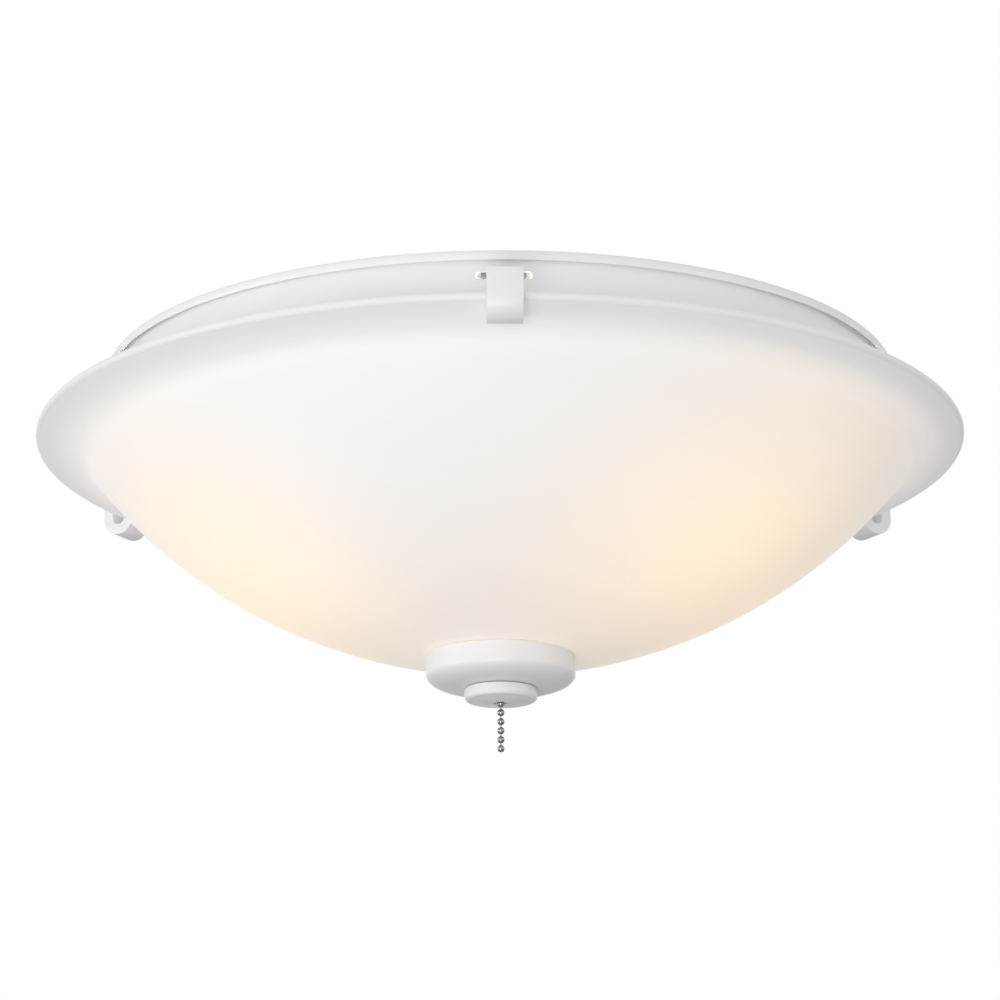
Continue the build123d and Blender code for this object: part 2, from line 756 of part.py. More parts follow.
# Sockets, their screw shells and contacts, and the lamps, mirrored left and right
lamp_line = Axis((0, 0, lamp_height), (1, 0, 0))
mouth = half_span + socket_length
shell_outer = socket_inner - shell_gap
shell_start = half_span + socket_floor
tip_start = shell_start + contact_button_height + slide_gap
base_end = mouth + lamp_base_shoulder
collar_end = base_end + collar_length
globe_middle = collar_end + globe_offset
collar_radius = sqrt(globe_radius**2 - globe_offset**2)
for side, way in (("left", -1), ("right", 1)):
    with BuildPart() as socket_body:
        with BuildSketch(Plane.XZ) as socket_outline:
            with BuildLine():
                Polyline(
                    (way * half_span, lamp_height),
                    (way * half_span, lamp_height + socket_radius),
                    (way * mouth, lamp_height + socket_radius),
                    (way * mouth, lamp_height + socket_inner),
                    (way * shell_start, lamp_height + socket_inner),
                    (way * shell_start, lamp_height),
                    close=True,
                )
            make_face()
            mouth_rim = (way * mouth, lamp_height + (socket_radius + socket_inner) / 2)
            fillet(socket_outline.vertices().sort_by_distance(mouth_rim)[:2], socket_mouth_round)
        revolve(axis=lamp_line)
        with BuildSketch(facing_plane(0, lamp_height)):
            with Locations(*socket_screw_points):
                Circle(screw_hole_radius)
        extrude(amount=way * shell_start, mode=Mode.SUBTRACT)
    write_node(socket_body, f"socket_body_{side}")
    with BuildPart() as socket_shell:
        with BuildSketch(Plane.XZ):
            with BuildLine():
                Polyline(
                    (way * shell_start, lamp_height + shell_opening),
                    (way * shell_start, lamp_height + shell_outer),
                    (way * (mouth - shell_setback), lamp_height + shell_outer),
                    (way * (mouth - shell_setback), lamp_height + shell_outer - shell_sheet),
                    (way * (shell_start + shell_sheet), lamp_height + shell_outer - shell_sheet),
                    (way * (shell_start + shell_sheet), lamp_height + shell_opening),
                    close=True,
                )
            make_face()
        revolve(axis=lamp_line)
    write_node(socket_shell, f"socket_shell_{side}")
    with BuildPart() as socket_contact:
        with BuildSketch(Plane.XZ):
            with BuildLine():
                Polyline(
                    (way * shell_start, lamp_height),
                    (way * shell_start, lamp_height + contact_radius),
                    (way * (shell_start + contact_height), lamp_height + contact_radius),
                    (way * (shell_start + contact_button_height), lamp_height + contact_button_radius),
                    (way * (shell_start + contact_button_height), lamp_height),
                    close=True,
                )
            make_face()
        revolve(axis=lamp_line)
    write_node(socket_contact, f"socket_contact_{side}")
    with BuildPart() as lamp_base:
        with BuildSketch(Plane.XZ):
            with BuildLine():
                Polyline(
                    (way * tip_start, lamp_height),
                    (way * tip_start, lamp_height + lamp_tip_radius),
                    (way * (tip_start + lamp_tip_height), lamp_height + lamp_foot_radius),
                    (way * (tip_start + lamp_tip_height + lamp_foot_height), lamp_height + lamp_base_radius),
                    (way * base_end, lamp_height + lamp_base_radius),
                    (way * base_end, lamp_height),
                    close=True,
                )
            make_face()
        revolve(axis=lamp_line)
    write_node(lamp_base, f"lamp_base_{side}")
    with BuildPart() as lamp_collar:
        with BuildSketch(Plane.XZ):
            with BuildLine():
                collar_foot = (way * base_end, lamp_height + lamp_base_radius + collar_step)
                collar_rim = (way * collar_end, lamp_height + collar_radius)
                Polyline(collar_rim, (way * collar_end, lamp_height), (way * base_end, lamp_height))
                Line((way * base_end, lamp_height), collar_foot)
                TangentArc(
                    collar_rim,
                    collar_foot,
                    tangent=(-way * collar_radius, -globe_offset),
                )
            make_face()
        revolve(axis=lamp_line)
    write_node(lamp_collar, f"lamp_collar_{side}")
    with BuildPart() as lamp_globe:
        with BuildSketch(Plane.XZ):
            with BuildLine():
                globe_rim = (way * collar_end, lamp_height + collar_radius)
                globe_tip = (way * (globe_middle + globe_radius), lamp_height)
                ThreePointArc(globe_rim, (way * globe_middle, lamp_height + globe_radius), globe_tip)
                Polyline(globe_tip, (way * collar_end, lamp_height), globe_rim)
            make_face()
        revolve(axis=lamp_line)
    write_node(lamp_globe, f"lamp_globe_{side}")

with BuildPart() as socket_screws:
    for way in (-1, 1):
        inside_place = (way * (half_span - lamp_bracket_sheet), 0, lamp_height)
        leg_inside = Plane(origin=inside_place, x_dir=(0, 1, 0), z_dir=(1, 0, 0))
        with BuildSketch(leg_inside):
            with Locations(*socket_screw_points):
                Circle(screw_head_radius)
        extrude(amount=-way * screw_head_height)
        with BuildSketch(leg_inside):
            with Locations(*socket_screw_points):
                Circle(screw_radius)
        extrude(amount=way * (lamp_bracket_sheet + socket_floor))
write_node(socket_screws, "socket_screws")

# Gasket, washer and nut that clamp the glass from inside
with BuildPart() as glass_gasket:
    with BuildSketch(Plane.XY.offset(inner_seat)):
        Circle(gasket_radius)
        Circle(stem_radius + slide_gap, mode=Mode.SUBTRACT)
    extrude(amount=gasket_height)
write_node(glass_gasket, "glass_gasket")

with BuildPart() as glass_washer:
    with BuildSketch(Plane.XY.offset(inner_seat + gasket_height)):
        Circle(washer_radius)
        Circle(stem_radius + thread_clearance, mode=Mode.SUBTRACT)
    extrude(amount=washer_height)
write_node(glass_washer, "glass_washer")

with BuildPart() as glass_nut:
    with BuildSketch(Plane.XY.offset(inner_seat + gasket_height + washer_height)):
        RegularPolygon(nut_flats / 2, side_count=6, major_radius=False)
        Circle(stem_radius + thread_clearance / 2, mode=Mode.SUBTRACT)
    extrude(amount=nut_height)
write_node(glass_nut, "glass_nut")

# Finial cap: hollow cup whose rim faces the glass, with a gasket let into the rim
cap_top = bowl_seat - cap_glass_gap
cap_bottom = cap_top - cap_height
cap_gasket_outer = cap_radius - cap_rim_width
cap_gasket_inner = cap_gasket_outer - cap_gasket_width
cap_cavity_radius = cap_gasket_inner - cap_ledge
knob_neck_radius = stem_radius + thread_clearance + knob_neck_wall
cap_hole_radius = knob_neck_radius + knob_neck_gap
cap_boss_radius = cap_hole_radius + cap_boss_wall
with BuildPart() as finial_cap:
    with BuildSketch(Plane.XZ) as cap_outline:
        with BuildLine():
            Polyline(
                (cap_radius, cap_bottom + cap_curve_height),
                (cap_radius, cap_top),
                (cap_gasket_outer, cap_top),
                (cap_gasket_outer, cap_top - gasket_height),
                (cap_cavity_radius, cap_top - gasket_height),
                (cap_cavity_radius, cap_bottom + cap_floor),
                (cap_boss_radius, cap_bottom + cap_floor),
                (cap_boss_radius, cap_top - gasket_height),
                (cap_hole_radius, cap_top - gasket_height),
                (cap_hole_radius, cap_bottom),
                (cap_radius - cap_curve_width, cap_bottom),
            )
            EllipticalCenterArc(
                (cap_radius - cap_curve_width, cap_bottom + cap_curve_height),
                cap_curve_width,
                cap_curve_height,
                start_angle=270,
                arc_size=90,
            )
        make_face()
        fillet(cap_outline.vertices().sort_by_distance((cap_radius, cap_top))[0], cap_edge_round)
    revolve(axis=Axis.Z)
write_node(finial_cap, "finial_cap")

with BuildPart() as cap_gasket:
    with BuildSketch(Plane.XY.offset(cap_top - gasket_height)):
        Circle(cap_gasket_outer - hole_clearance)
        Circle(cap_gasket_inner, mode=Mode.SUBTRACT)
    extrude(amount=gasket_height)
write_node(cap_gasket, "cap_gasket")

# Finial knob: disc and neck with a blind thread from above and the chain's hole below
knob_top = cap_bottom - knob_gap
knob_bottom = knob_top - knob_height
knob_thread_end = knob_bottom + knob_floor
with BuildPart() as finial_knob:
    with BuildSketch(Plane.XZ) as knob_outline:
        with BuildLine():
            crown_edge = (knob_radius - knob_rim_width, knob_bottom)
            hole_edge = (knob_hole_radius, knob_bottom - knob_crown)
            crown_middle = (knob_radius + knob_hole_radius) / 2
            crown_height = knob_bottom - knob_crown * knob_crown_middle_share
            ThreePointArc(hole_edge, (crown_middle, crown_height), crown_edge)
            Polyline(
                crown_edge,
                (knob_radius, knob_bottom),
                (knob_radius, knob_top),
                (knob_neck_radius, knob_top),
                (knob_neck_radius, knob_top + knob_neck_height),
                (stem_radius + thread_clearance, knob_top + knob_neck_height),
                (stem_radius + thread_clearance, knob_thread_end),
                (knob_hole_radius, knob_thread_end),
                hole_edge,
            )
        make_face()
        fillet(knob_outline.vertices().sort_by_distance((knob_radius, knob_bottom))[0], knob_lower_round)
        fillet(knob_outline.vertices().sort_by_distance((knob_radius, knob_top))[0], knob_edge_round)
    revolve(axis=Axis.Z)
write_node(finial_knob, "finial_knob")

# Hollow stem from the coupling down into the knob
stem_top = nozzle_end - slide_gap
stem_bottom = knob_thread_end + stem_end_gap
with BuildPart() as stem:
    with BuildSketch(Plane.XY.offset(stem_bottom)):
        Circle(stem_radius)
        Circle(stem_bore, mode=Mode.SUBTRACT)
    extrude(amount=stem_top - stem_bottom)
write_node(stem, "stem")

# Bead chain: one long run down the stem, then a bead and an end run that each swing
bead_pitch = bead_radius * 2 + bead_gap
exit_bead = knob_bottom - chain_exit_drop
joint_bead = exit_bead - beads_above_joint * bead_pitch
chain_top = switch_bottom - bead_radius - slide_gap
upper_bead_count = int((chain_top - joint_bead) / bead_pitch) + 1
wire_length = bead_pitch - bead_radius - chain_joint_gap
with BuildPart() as pull_chain:
    with Locations(*[(0, 0, joint_bead + place * bead_pitch) for place in range(upper_bead_count)]):
        Sphere(bead_radius)
    with Locations((0, 0, joint_bead)):
        Cylinder(chain_wire_radius, (upper_bead_count - 1) * bead_pitch, align=at_base)
write_node(pull_chain, "pull_chain")

swing_bead = joint_bead - bead_pitch
with BuildPart() as chain_bead:
    with Locations((0, 0, swing_bead)):
        Sphere(bead_radius)
        Cylinder(chain_wire_radius, wire_length, align=at_base)
write_node(chain_bead, "chain_bead")

end_bead = swing_bead - bead_pitch
with BuildPart() as chain_end:
    with Locations(*[(0, 0, end_bead - place * bead_pitch) for place in range(beads_in_end)]):
        Sphere(bead_radius)
    with Locations((0, 0, end_bead)):
        Cylinder(chain_wire_radius, wire_length, align=at_base)
        Cylinder(chain_wire_radius, (beads_in_end - 1) * bead_pitch, align=at_top)
write_node(chain_end, "chain_end")
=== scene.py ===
import bmesh
import bpy
import json
import math
from mathutils import Matrix, Vector


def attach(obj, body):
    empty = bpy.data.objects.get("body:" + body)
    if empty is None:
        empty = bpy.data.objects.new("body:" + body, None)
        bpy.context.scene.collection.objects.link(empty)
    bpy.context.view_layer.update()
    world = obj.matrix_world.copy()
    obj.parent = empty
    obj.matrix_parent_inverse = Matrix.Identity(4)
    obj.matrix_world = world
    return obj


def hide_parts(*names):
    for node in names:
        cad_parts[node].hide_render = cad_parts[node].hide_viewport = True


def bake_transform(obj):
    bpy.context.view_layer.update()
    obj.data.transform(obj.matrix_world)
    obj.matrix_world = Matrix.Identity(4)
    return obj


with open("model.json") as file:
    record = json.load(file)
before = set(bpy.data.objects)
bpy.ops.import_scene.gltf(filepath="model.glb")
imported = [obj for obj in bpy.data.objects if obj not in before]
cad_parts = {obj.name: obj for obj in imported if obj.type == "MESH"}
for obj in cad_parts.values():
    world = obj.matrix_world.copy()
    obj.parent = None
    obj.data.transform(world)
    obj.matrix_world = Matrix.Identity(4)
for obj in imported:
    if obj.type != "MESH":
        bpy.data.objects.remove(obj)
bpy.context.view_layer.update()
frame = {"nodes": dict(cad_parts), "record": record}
print("frame loaded:", len(frame["nodes"]), "nodes")

scene = bpy.context.scene
scene.view_settings.view_transform = "Standard"


def hexColour(text):
    # sRGB hex to the linear colour that the sockets take
    parts = [int(text[i:i + 2], 16) / 255 for i in (1, 3, 5)]
    return (*[c / 12.92 if c <= 0.04045 else ((c + 0.055) / 1.055) ** 2.4 for c in parts], 1.0)


def addNode(tree, kind, inputs=None, **settings):
    # an input is a value, a socket, or a node that stands for its first output
    node = tree.nodes.new(kind)
    for name, value in settings.items():
        setattr(node, name, value)
    for name, value in (inputs or {}).items():
        if isinstance(value, bpy.types.Node):
            value = value.outputs[0]
        if isinstance(value, bpy.types.NodeSocket):
            tree.links.new(value, node.inputs[name])
        else:
            node.inputs[name].default_value = value
    return node


def emptyMaterial(name):
    material = bpy.data.materials.new(name)
    material.use_nodes = True
    material.node_tree.nodes.clear()
    return material


def closeMaterial(tree, shader):
    addNode(tree, "ShaderNodeOutputMaterial", {"Surface": shader})


def turnAbout(axis, degrees):
    return Matrix.Rotation(math.radians(degrees), 4, axis)


# Camera: below the rim and looking up, as the shop photograph was taken
cameraView = {
    "place": (-0.0143, -1.3588, -0.4497),
    "lookUp": 16.33,
    "turn": -0.60,
    "roll": -0.2,
    "lens": 115.85,
    "sensor": 36.0,
    "farEnd": 60.0,
}
cameraData = bpy.data.cameras.new("photoCamera")
camera = bpy.data.objects.new("photoCamera", cameraData)
scene.collection.objects.link(camera)
camera.matrix_world = Matrix.Translation(cameraView["place"]) @ turnAbout("Z", cameraView["turn"]) \
    @ turnAbout("X", 90 + cameraView["lookUp"]) @ turnAbout("Z", cameraView["roll"])  # unturned, it looks down
cameraData.lens = cameraView["lens"]
cameraData.sensor_width = cameraView["sensor"]
cameraData.clip_end = cameraView["farEnd"]
scene.camera = camera
print("camera set")

# Room: a plain pale floor well below the fixture, and even white light all round
room = {
    "floorDrop": 1.9,
    "floorSize": 30.0,
    "floorColour": "#b0b0b1",
    "floorRough": 0.9,  # dead flat paint, so nothing mirrors in it
    "worldLight": 0.61,
    "worldColour": "#ffffff",
    "softboxes": {  # place, size, and the share of a full white that each adds to a surface facing it
        "leftSoftbox": ((-2.8, -0.8, -0.4), 1.3, 0.19),
        "frontSoftbox": ((-0.4, -3.0, -1.2), 1.5, 0.315),
        "rightSoftbox": ((2.2, -1.6, 0.1), 1.5, 0.045),
        "lowSoftbox": ((-1.3, -2.0, -2.1), 1.3, 0.27),
        "backSoftbox": ((0.4, 3.0, 0.9), 1.6, 0.40),
    },
    "target": (0.0, 0.0, -0.06),
    "unmirrored": "backSoftbox",  # it would put a glaring edge on the glass
}


def seenDirectly(tree):
    # 1 where the camera, a mirror or clear glass looks at it, and 0 where it only lights things
    path = addNode(tree, "ShaderNodeLightPath")
    seen = path.outputs["Is Camera Ray"]
    for kind in ("Is Glossy Ray", "Is Transmission Ray"):
        seen = addNode(tree, "ShaderNodeMath", {0: seen, 1: path.outputs[kind]}, operation="ADD",
                       use_clamp=True)
    return seen


world = bpy.data.worlds.new("whiteRoom")
world.use_nodes = True
roomTree = world.node_tree
roomTree.nodes.clear()
strength = addNode(roomTree, "ShaderNodeMix", {0: seenDirectly(roomTree), 2: room["worldLight"], 3: 1.0},
                   data_type="FLOAT")
sky = addNode(roomTree, "ShaderNodeBackground",
              {"Color": hexColour(room["worldColour"]), "Strength": strength})
addNode(roomTree, "ShaderNodeOutputWorld", {"Surface": sky})
scene.world = world

half = room["floorSize"] / 2
floorCorners = [(x * half, y * half, -room["floorDrop"]) for x, y in ((-1, -1), (1, -1), (1, 1), (-1, 1))]
floorMesh = bpy.data.meshes.new("floor")
floorMesh.from_pydata(floorCorners, [], [(0, 1, 2, 3)])
floor = bpy.data.objects.new("floor", floorMesh)
scene.collection.objects.link(floor)
floorPaint = emptyMaterial("mattFloorPaint")
paint = addNode(floorPaint.node_tree, "ShaderNodeBsdfPrincipled",
                {"Base Color": hexColour(room["floorColour"]), "Roughness": room["floorRough"]})
closeMaterial(floorPaint.node_tree, paint)
floorMesh.materials.append(floorPaint)


def addSoftbox(name, place, size, share):
    data = bpy.data.lights.new(name, "AREA")
    data.shape = "DISK"
    data.size = size
    toward = Vector(room["target"]) - Vector(place)
    data.energy = share * math.pi ** 2 * toward.length_squared
    lamp = bpy.data.objects.new(name, data)
    scene.collection.objects.link(lamp)
    lamp.location = place
    lamp.rotation_euler = toward.to_track_quat("-Z", "Y").to_euler()
    lamp.visible_glossy = name != room["unmirrored"]


for name, (place, size, share) in room["softboxes"].items():
    addSoftbox(name, place, size, share)
print("room and lights set")


def objectPoint(tree):
    # Object coordinates in millimetres
    place = addNode(tree, "ShaderNodeTexCoord")
    return addNode(tree, "ShaderNodeVectorMath", {0: place.outputs["Object"], "Scale": 1000.0},
                   operation="SCALE")


# Opal glass, slumped and fire polished: milk white right through. The lamps' light through it is painted on as
# emission, out to the fold and warmest near the lamps; the brim and the rim's edge are painted grey, as painted
# shade.
glassLook = {
    "colour": "#e8e8e9",
    # painted warm tint of the base colour, where the painted lamp glow is strong
    "paintedLampTint": "#e9e6dd",
    "rough": 0.42,
    "gloss": 0.30,
    # Levels of painted light, given as emission: the body painted lit from inside, the brim painted grey, the
    # rim's edge painted darkest
    "bodyLevel": 0.184,
    "brimLevel": 0.160,
    "edgeLevel": 0.07,
    "edgeStart": (203.1, 201.0),  # radii where the rim's own level ends and the brim's is reached
    "bodyEdge": (200.5, 181.5),  # radii where the light from inside begins and is full
    "paintedFoldGlow": (187.0, 4.5, 0.056),  # radius, reach and level of the light that gathers in the fold
    # Painted glow of the lamps: its colour, and soft spots by position. The two front spots sit forward of the
    # lamps and are stronger, so they also paint the room's light falling on the front.
    "lampLight": "#ffc255",
    "paintedLampGlows": (  # middle, reach and level
        ((-108.0, -41.0, -97.0), 52.0, 0.308), ((92.0, -68.0, -91.0), 62.0, 0.335),
        ((-100.0, 66.0, -93.0), 50.0, 0.20), ((100.0, 66.0, -93.0), 50.0, 0.20)),
    "fullGlow": 0.32,
    "waves": 55.0,
}


def bellOf(tree, away, reach, level, base):
    # base and a soft bump of the given level, that fades with the distance away
    share = addNode(tree, "ShaderNodeMath", {0: away.outputs["Value"], 1: reach}, operation="DIVIDE")
    square = addNode(tree, "ShaderNodeMath", {0: share, 1: share}, operation="MULTIPLY")
    bell = addNode(tree, "ShaderNodeMath", {0: square, 1: -0.5}, operation="MULTIPLY")
    fall = addNode(tree, "ShaderNodeMath", {0: bell}, operation="EXPONENT")
    return addNode(tree, "ShaderNodeMath", {0: fall, 1: level, 2: base},
                   operation="MULTIPLY_ADD")


def opalGlass(look):
    material = emptyMaterial("firePolishedOpalGlass")
    tree = material.node_tree
    point = objectPoint(tree)
    parts = addNode(tree, "ShaderNodeSeparateXYZ", {0: point})
    flat = addNode(tree, "ShaderNodeCombineXYZ", {0: parts.outputs[0], 1: parts.outputs[1]})
    out = addNode(tree, "ShaderNodeVectorMath", {0: flat}, operation="LENGTH").outputs["Value"]

    # painted light from the lamps, as soft spots by position, kept to the body inside the fold
    glow = 0.0
    for centre, reach, level in look["paintedLampGlows"]:
        away = addNode(tree, "ShaderNodeVectorMath", {0: point, 1: centre}, operation="DISTANCE")
        glow = bellOf(tree, away, reach, level, glow)
    inside = addNode(tree, "ShaderNodeMapRange", {0: out, 1: look["bodyEdge"][0], 2: look["bodyEdge"][1]},
                     interpolation_type="SMOOTHSTEP")
    lit = addNode(tree, "ShaderNodeMath", {0: glow, 1: inside}, operation="MULTIPLY")
    # the base colour is painted warmer where the painted lamp glow is strong
    warm = addNode(tree, "ShaderNodeMapRange", {0: lit, 2: look["fullGlow"]})
    colour = addNode(tree, "ShaderNodeMix", {
        0: warm, 6: hexColour(look["colour"]), 7: hexColour(look["paintedLampTint"])}, data_type="RGBA")

    # painted levels by radius: the rim's edge darkest, the brim grey, the body lit, and a painted glow in the
    # fold
    outer, inner = look["edgeStart"]
    brim = addNode(tree, "ShaderNodeMapRange", {
        0: out, 1: outer, 2: inner, 3: look["edgeLevel"], 4: look["brimLevel"]},
        interpolation_type="SMOOTHSTEP")
    body = addNode(tree, "ShaderNodeMix", {0: inside, 2: brim, 3: look["bodyLevel"]}, data_type="FLOAT")
    radius, reach, level = look["paintedFoldGlow"]
    away = addNode(tree, "ShaderNodeMath", {0: out, 1: radius}, operation="SUBTRACT")
    folded = bellOf(tree, away, reach, level, body)
    # all of the painted light goes out as emission
    lampLight = addNode(tree, "ShaderNodeVectorMath", {0: hexColour(look["lampLight"])[:3], "Scale": lit},
                        operation="SCALE")
    light = addNode(tree, "ShaderNodeVectorMath", {0: lampLight, 1: folded}, operation="ADD")

    wave = addNode(tree, "ShaderNodeTexNoise", {"Vector": point, "Scale": 1 / look["waves"], "Detail": 1.0})
    bump = addNode(tree, "ShaderNodeBump", {"Strength": 0.2, "Distance": 0.001, "Height": wave})
    shader = addNode(tree, "ShaderNodeBsdfPrincipled", {
        "Base Color": colour.outputs[2], "Roughness": look["rough"], "IOR": 1.5,
        "Specular IOR Level": look["gloss"], "Normal": bump,
        "Emission Color": light, "Emission Strength": 1.0})
    closeMaterial(tree, shader)
    return material


def surfaceMaterial(name, look):
    # slow clouds between two colours, a fine grain with its bump, and a roughness that is plain or strays
    material = emptyMaterial(name)
    tree = material.node_tree
    grainDetail, cloudDetail = look["details"]
    stretched = addNode(tree, "ShaderNodeMapping", {
        "Vector": objectPoint(tree), "Scale": look.get("stretch", (1, 1, 1))})
    grain = addNode(tree, "ShaderNodeTexNoise", {
        "Vector": stretched, "Scale": 1 / look["grain"], "Detail": grainDetail})
    cloud = addNode(tree, "ShaderNodeTexNoise", {
        "Vector": objectPoint(tree), "Scale": 1 / look["cloud"], "Detail": cloudDetail})
    colour = addNode(tree, "ShaderNodeMix", {
        0: cloud, 6: hexColour(look["shade"]), 7: hexColour(look["colour"])}, data_type="RGBA")
    bump = addNode(tree, "ShaderNodeBump", {
        "Strength": look["bump"], "Distance": look["depth"] / 1000, "Height": grain})
    rough = look["rough"]
    if "spread" in look:
        source = cloud if look["straysWith"] == "cloud" else grain
        rough = addNode(tree, "ShaderNodeMapRange", {
            0: source, 1: 0.3, 2: 0.7, 3: rough - look["spread"], 4: rough + look["spread"]})
    shader = addNode(tree, "ShaderNodeBsdfPrincipled", {
        "Base Color": colour.outputs[2], "Roughness": rough, "Normal": bump, **look.get("sockets", {})})
    closeMaterial(tree, shader)
    return material


# What the finishes of one kind share
enamel = {"details": (1.5, 3.0), "bump": 0.25, "straysWith": "cloud"}
metal = {"details": (3.0, 2.0), "bump": 0.3, "straysWith": "grain", "sockets": {"Metallic": 1.0}}
moulded = {"details": (2.0, 2.0), "bump": 0.3}

# Every finish but the glass. Grain, cloud and depth are the sizes in millimetres of what the eye can see.
looks = {
    "white_paint": ("bakedWhiteEnamelOnSteel", enamel, {  # satin, with a faint orange peel
        "colour": "#f0f0f1", "shade": "#ededee", "rough": 0.36, "spread": 0.05,
        "grain": 1.5, "cloud": 40.0, "depth": 0.010}),
    # the nickel's colour is darker than bright nickel: painted shade that stands in for the dark surroundings
    # it would mirror
    "chain_nickel": ("brightNickelPlateOnBrass", metal, {  # near mirror, faint warm cast
        "colour": "#aaa8a4", "shade": "#98958f", "rough": 0.10, "spread": 0.04,
        "grain": 0.35, "cloud": 6.0, "depth": 0.003}),
    "zinc_plate": ("clearZincPlateOnSteel", metal, {  # greyish blue, with a soft spangle
        "colour": "#c4c8cc", "shade": "#a9adb4", "rough": 0.34, "spread": 0.10,
        "grain": 0.9, "cloud": 5.0, "depth": 0.006}),
    "spring_steel": ("oilTemperedSpringWire", metal, {  # dark, drawn along its length
        "colour": "#85878b", "shade": "#66686c", "rough": 0.28, "spread": 0.08,
        "grain": 0.4, "cloud": 3.0, "depth": 0.004}),
    "bare_aluminium": ("millRolledAluminium", metal, {  # pale, with rolling lines along Y
        "colour": "#d3d5d7", "shade": "#bfc2c5", "rough": 0.30, "spread": 0.10,
        "grain": 0.8, "cloud": 14.0, "depth": 0.005, "stretch": (1, 0.06, 1)}),
    "brass": ("turnedBrass", metal, {  # yellow, with fine tool rings
        "colour": "#d8b566", "shade": "#bf9a4e", "rough": 0.26, "spread": 0.08,
        "grain": 0.4, "cloud": 5.0, "depth": 0.004, "stretch": (1, 1, 3)}),
    "green_screw": ("greenDyedZincPlate", metal, {  # the colour marks a ground screw
        "colour": "#3f8f5a", "shade": "#2c7445", "rough": 0.35, "spread": 0.08,
        "grain": 0.5, "cloud": 2.0, "depth": 0.004}),
    "black_nylon": ("mouldedBlackNylon", moulded, {  # spark-eroded mould texture
        "colour": "#26272a", "shade": "#1c1d1f", "rough": 0.48, "sockets": {"IOR": 1.53},
        "grain": 0.5, "cloud": 8.0, "depth": 0.02}),
    "porcelain": ("glazedElectricalPorcelain", moulded, {  # warm white body under a thick clear glaze
        "colour": "#f1ede4", "shade": "#e6e0d3", "rough": 0.22, "sockets": {"IOR": 1.52, "Coat Weight": 0.6},
        "grain": 4.0, "cloud": 9.0, "depth": 0.03}),
    "soft_rubber": ("mouldedSiliconeRubber", moulded, {  # dull grey, talc bloom
        "colour": "#8d8f91", "shade": "#7a7c7e", "rough": 0.75, "sockets": {"IOR": 1.41},
        "grain": 0.6, "cloud": 4.0, "depth": 0.02}),
    "lamp_plastic": ("mouldedThermalPlastic", moulded, {  # matt white, slightly grainy
        "colour": "#eeedea", "shade": "#e4e3df", "rough": 0.42, "sockets": {"IOR": 1.55},
        "grain": 0.7, "cloud": 10.0, "depth": 0.01}),
    "lamp_diffuser": ("frostedDiffuserBulbLit", moulded, {  # frosted cover that glows warm white
        "colour": "#fff8f0", "shade": "#fdf0e0", "rough": 0.40, "grain": 0.8, "cloud": 12.0, "depth": 0.01,
        "sockets": {"IOR": 1.58, "Emission Color": hexColour("#fff8f0"), "Emission Strength": 20.0}}),
}

materials = {"opal_glass": opalGlass(glassLook)}
for slotName, (name, kind, look) in looks.items():
    materials[slotName] = surfaceMaterial(name, {**kind, **look})
slotOf = {row["node"]: row["material_slot"] for row in frame["record"]["subparts"]}
for name, node in frame["nodes"].items():
    node.data.materials.clear()
    node.data.materials.append(materials[slotOf[name]])
print("materials set:", len(materials))


# Making of pieces. Sizes are in millimetres here and become metres when a piece is closed.
toMetres = Matrix.Scale(0.001, 4)


def newPiece(name, mesh):
    piece = bpy.data.objects.new(name, mesh)
    scene.collection.objects.link(piece)
    return piece


def paintPiece(piece, slotName, *nodes):
    # the piece takes its slot's material and stands for its CAD nodes
    piece.data.materials.clear()
    piece.data.materials.append(materials[slotName])
    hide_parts(*nodes)


def finishPiece(piece, body, slotName, *nodes):
    paintPiece(piece, slotName, *nodes)
    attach(piece, body)


def smoothMesh(mesh, sharp=32.0):
    mesh.polygons.foreach_set("use_smooth", [True] * len(mesh.polygons))
    mesh.set_sharp_from_angle(angle=math.radians(sharp))


def closeMesh(name, bm, sharp=32.0):
    # merges doubles, turns the faces outwards and gives a smooth mesh with crisp edges, in metres
    bmesh.ops.remove_doubles(bm, verts=bm.verts, dist=1e-4)
    bmesh.ops.dissolve_degenerate(bm, dist=1e-5, edges=bm.edges)
    bmesh.ops.recalc_face_normals(bm, faces=bm.faces)
    mesh = bpy.data.meshes.new(name)
    bm.to_mesh(mesh)
    bm.free()
    mesh.transform(toMetres)
    smoothMesh(mesh, sharp)
    return mesh


def arcPoints(middle, radius, first, last, parts):
    # points of the shorter arc from one angle to another, in radians
    sweep = (last - first + math.pi) % (2 * math.pi) - math.pi
    turns = [first + sweep * k / parts for k in range(parts + 1)]
    return [(middle[0] + radius * math.cos(turn), middle[1] + radius * math.sin(turn)) for turn in turns]


def roundCorners(corners, parts=6):
    # corners (x, y) or (x, y, radius) of a closed outline, with an arc where a radius is given
    path = []
    for i, corner in enumerate(corners):
        here = Vector(corner[:2])
        radius = corner[2] if len(corner) > 2 else 0.0
        if radius == 0.0:
            path.append((here.x, here.y))
            continue
        back = (Vector(corners[i - 1][:2]) - here).normalized()
        onward = (Vector(corners[(i + 1) % len(corners)][:2]) - here).normalized()
        half = back.angle(onward) / 2
        middle = here + (back + onward).normalized() * radius / math.sin(half)
        start = here + back * radius / math.tan(half) - middle
        end = here + onward * radius / math.tan(half) - middle
        path += arcPoints(middle, radius, math.atan2(start.y, start.x), math.atan2(end.y, end.x), parts)
    return path


def rowsBetween(radius, start, end, step):
    # points of a straight line along the axis, about a step apart
    count = max(2, int(abs(end - start) / step))
    return [(radius, start + (end - start) * k / count) for k in range(count + 1)]


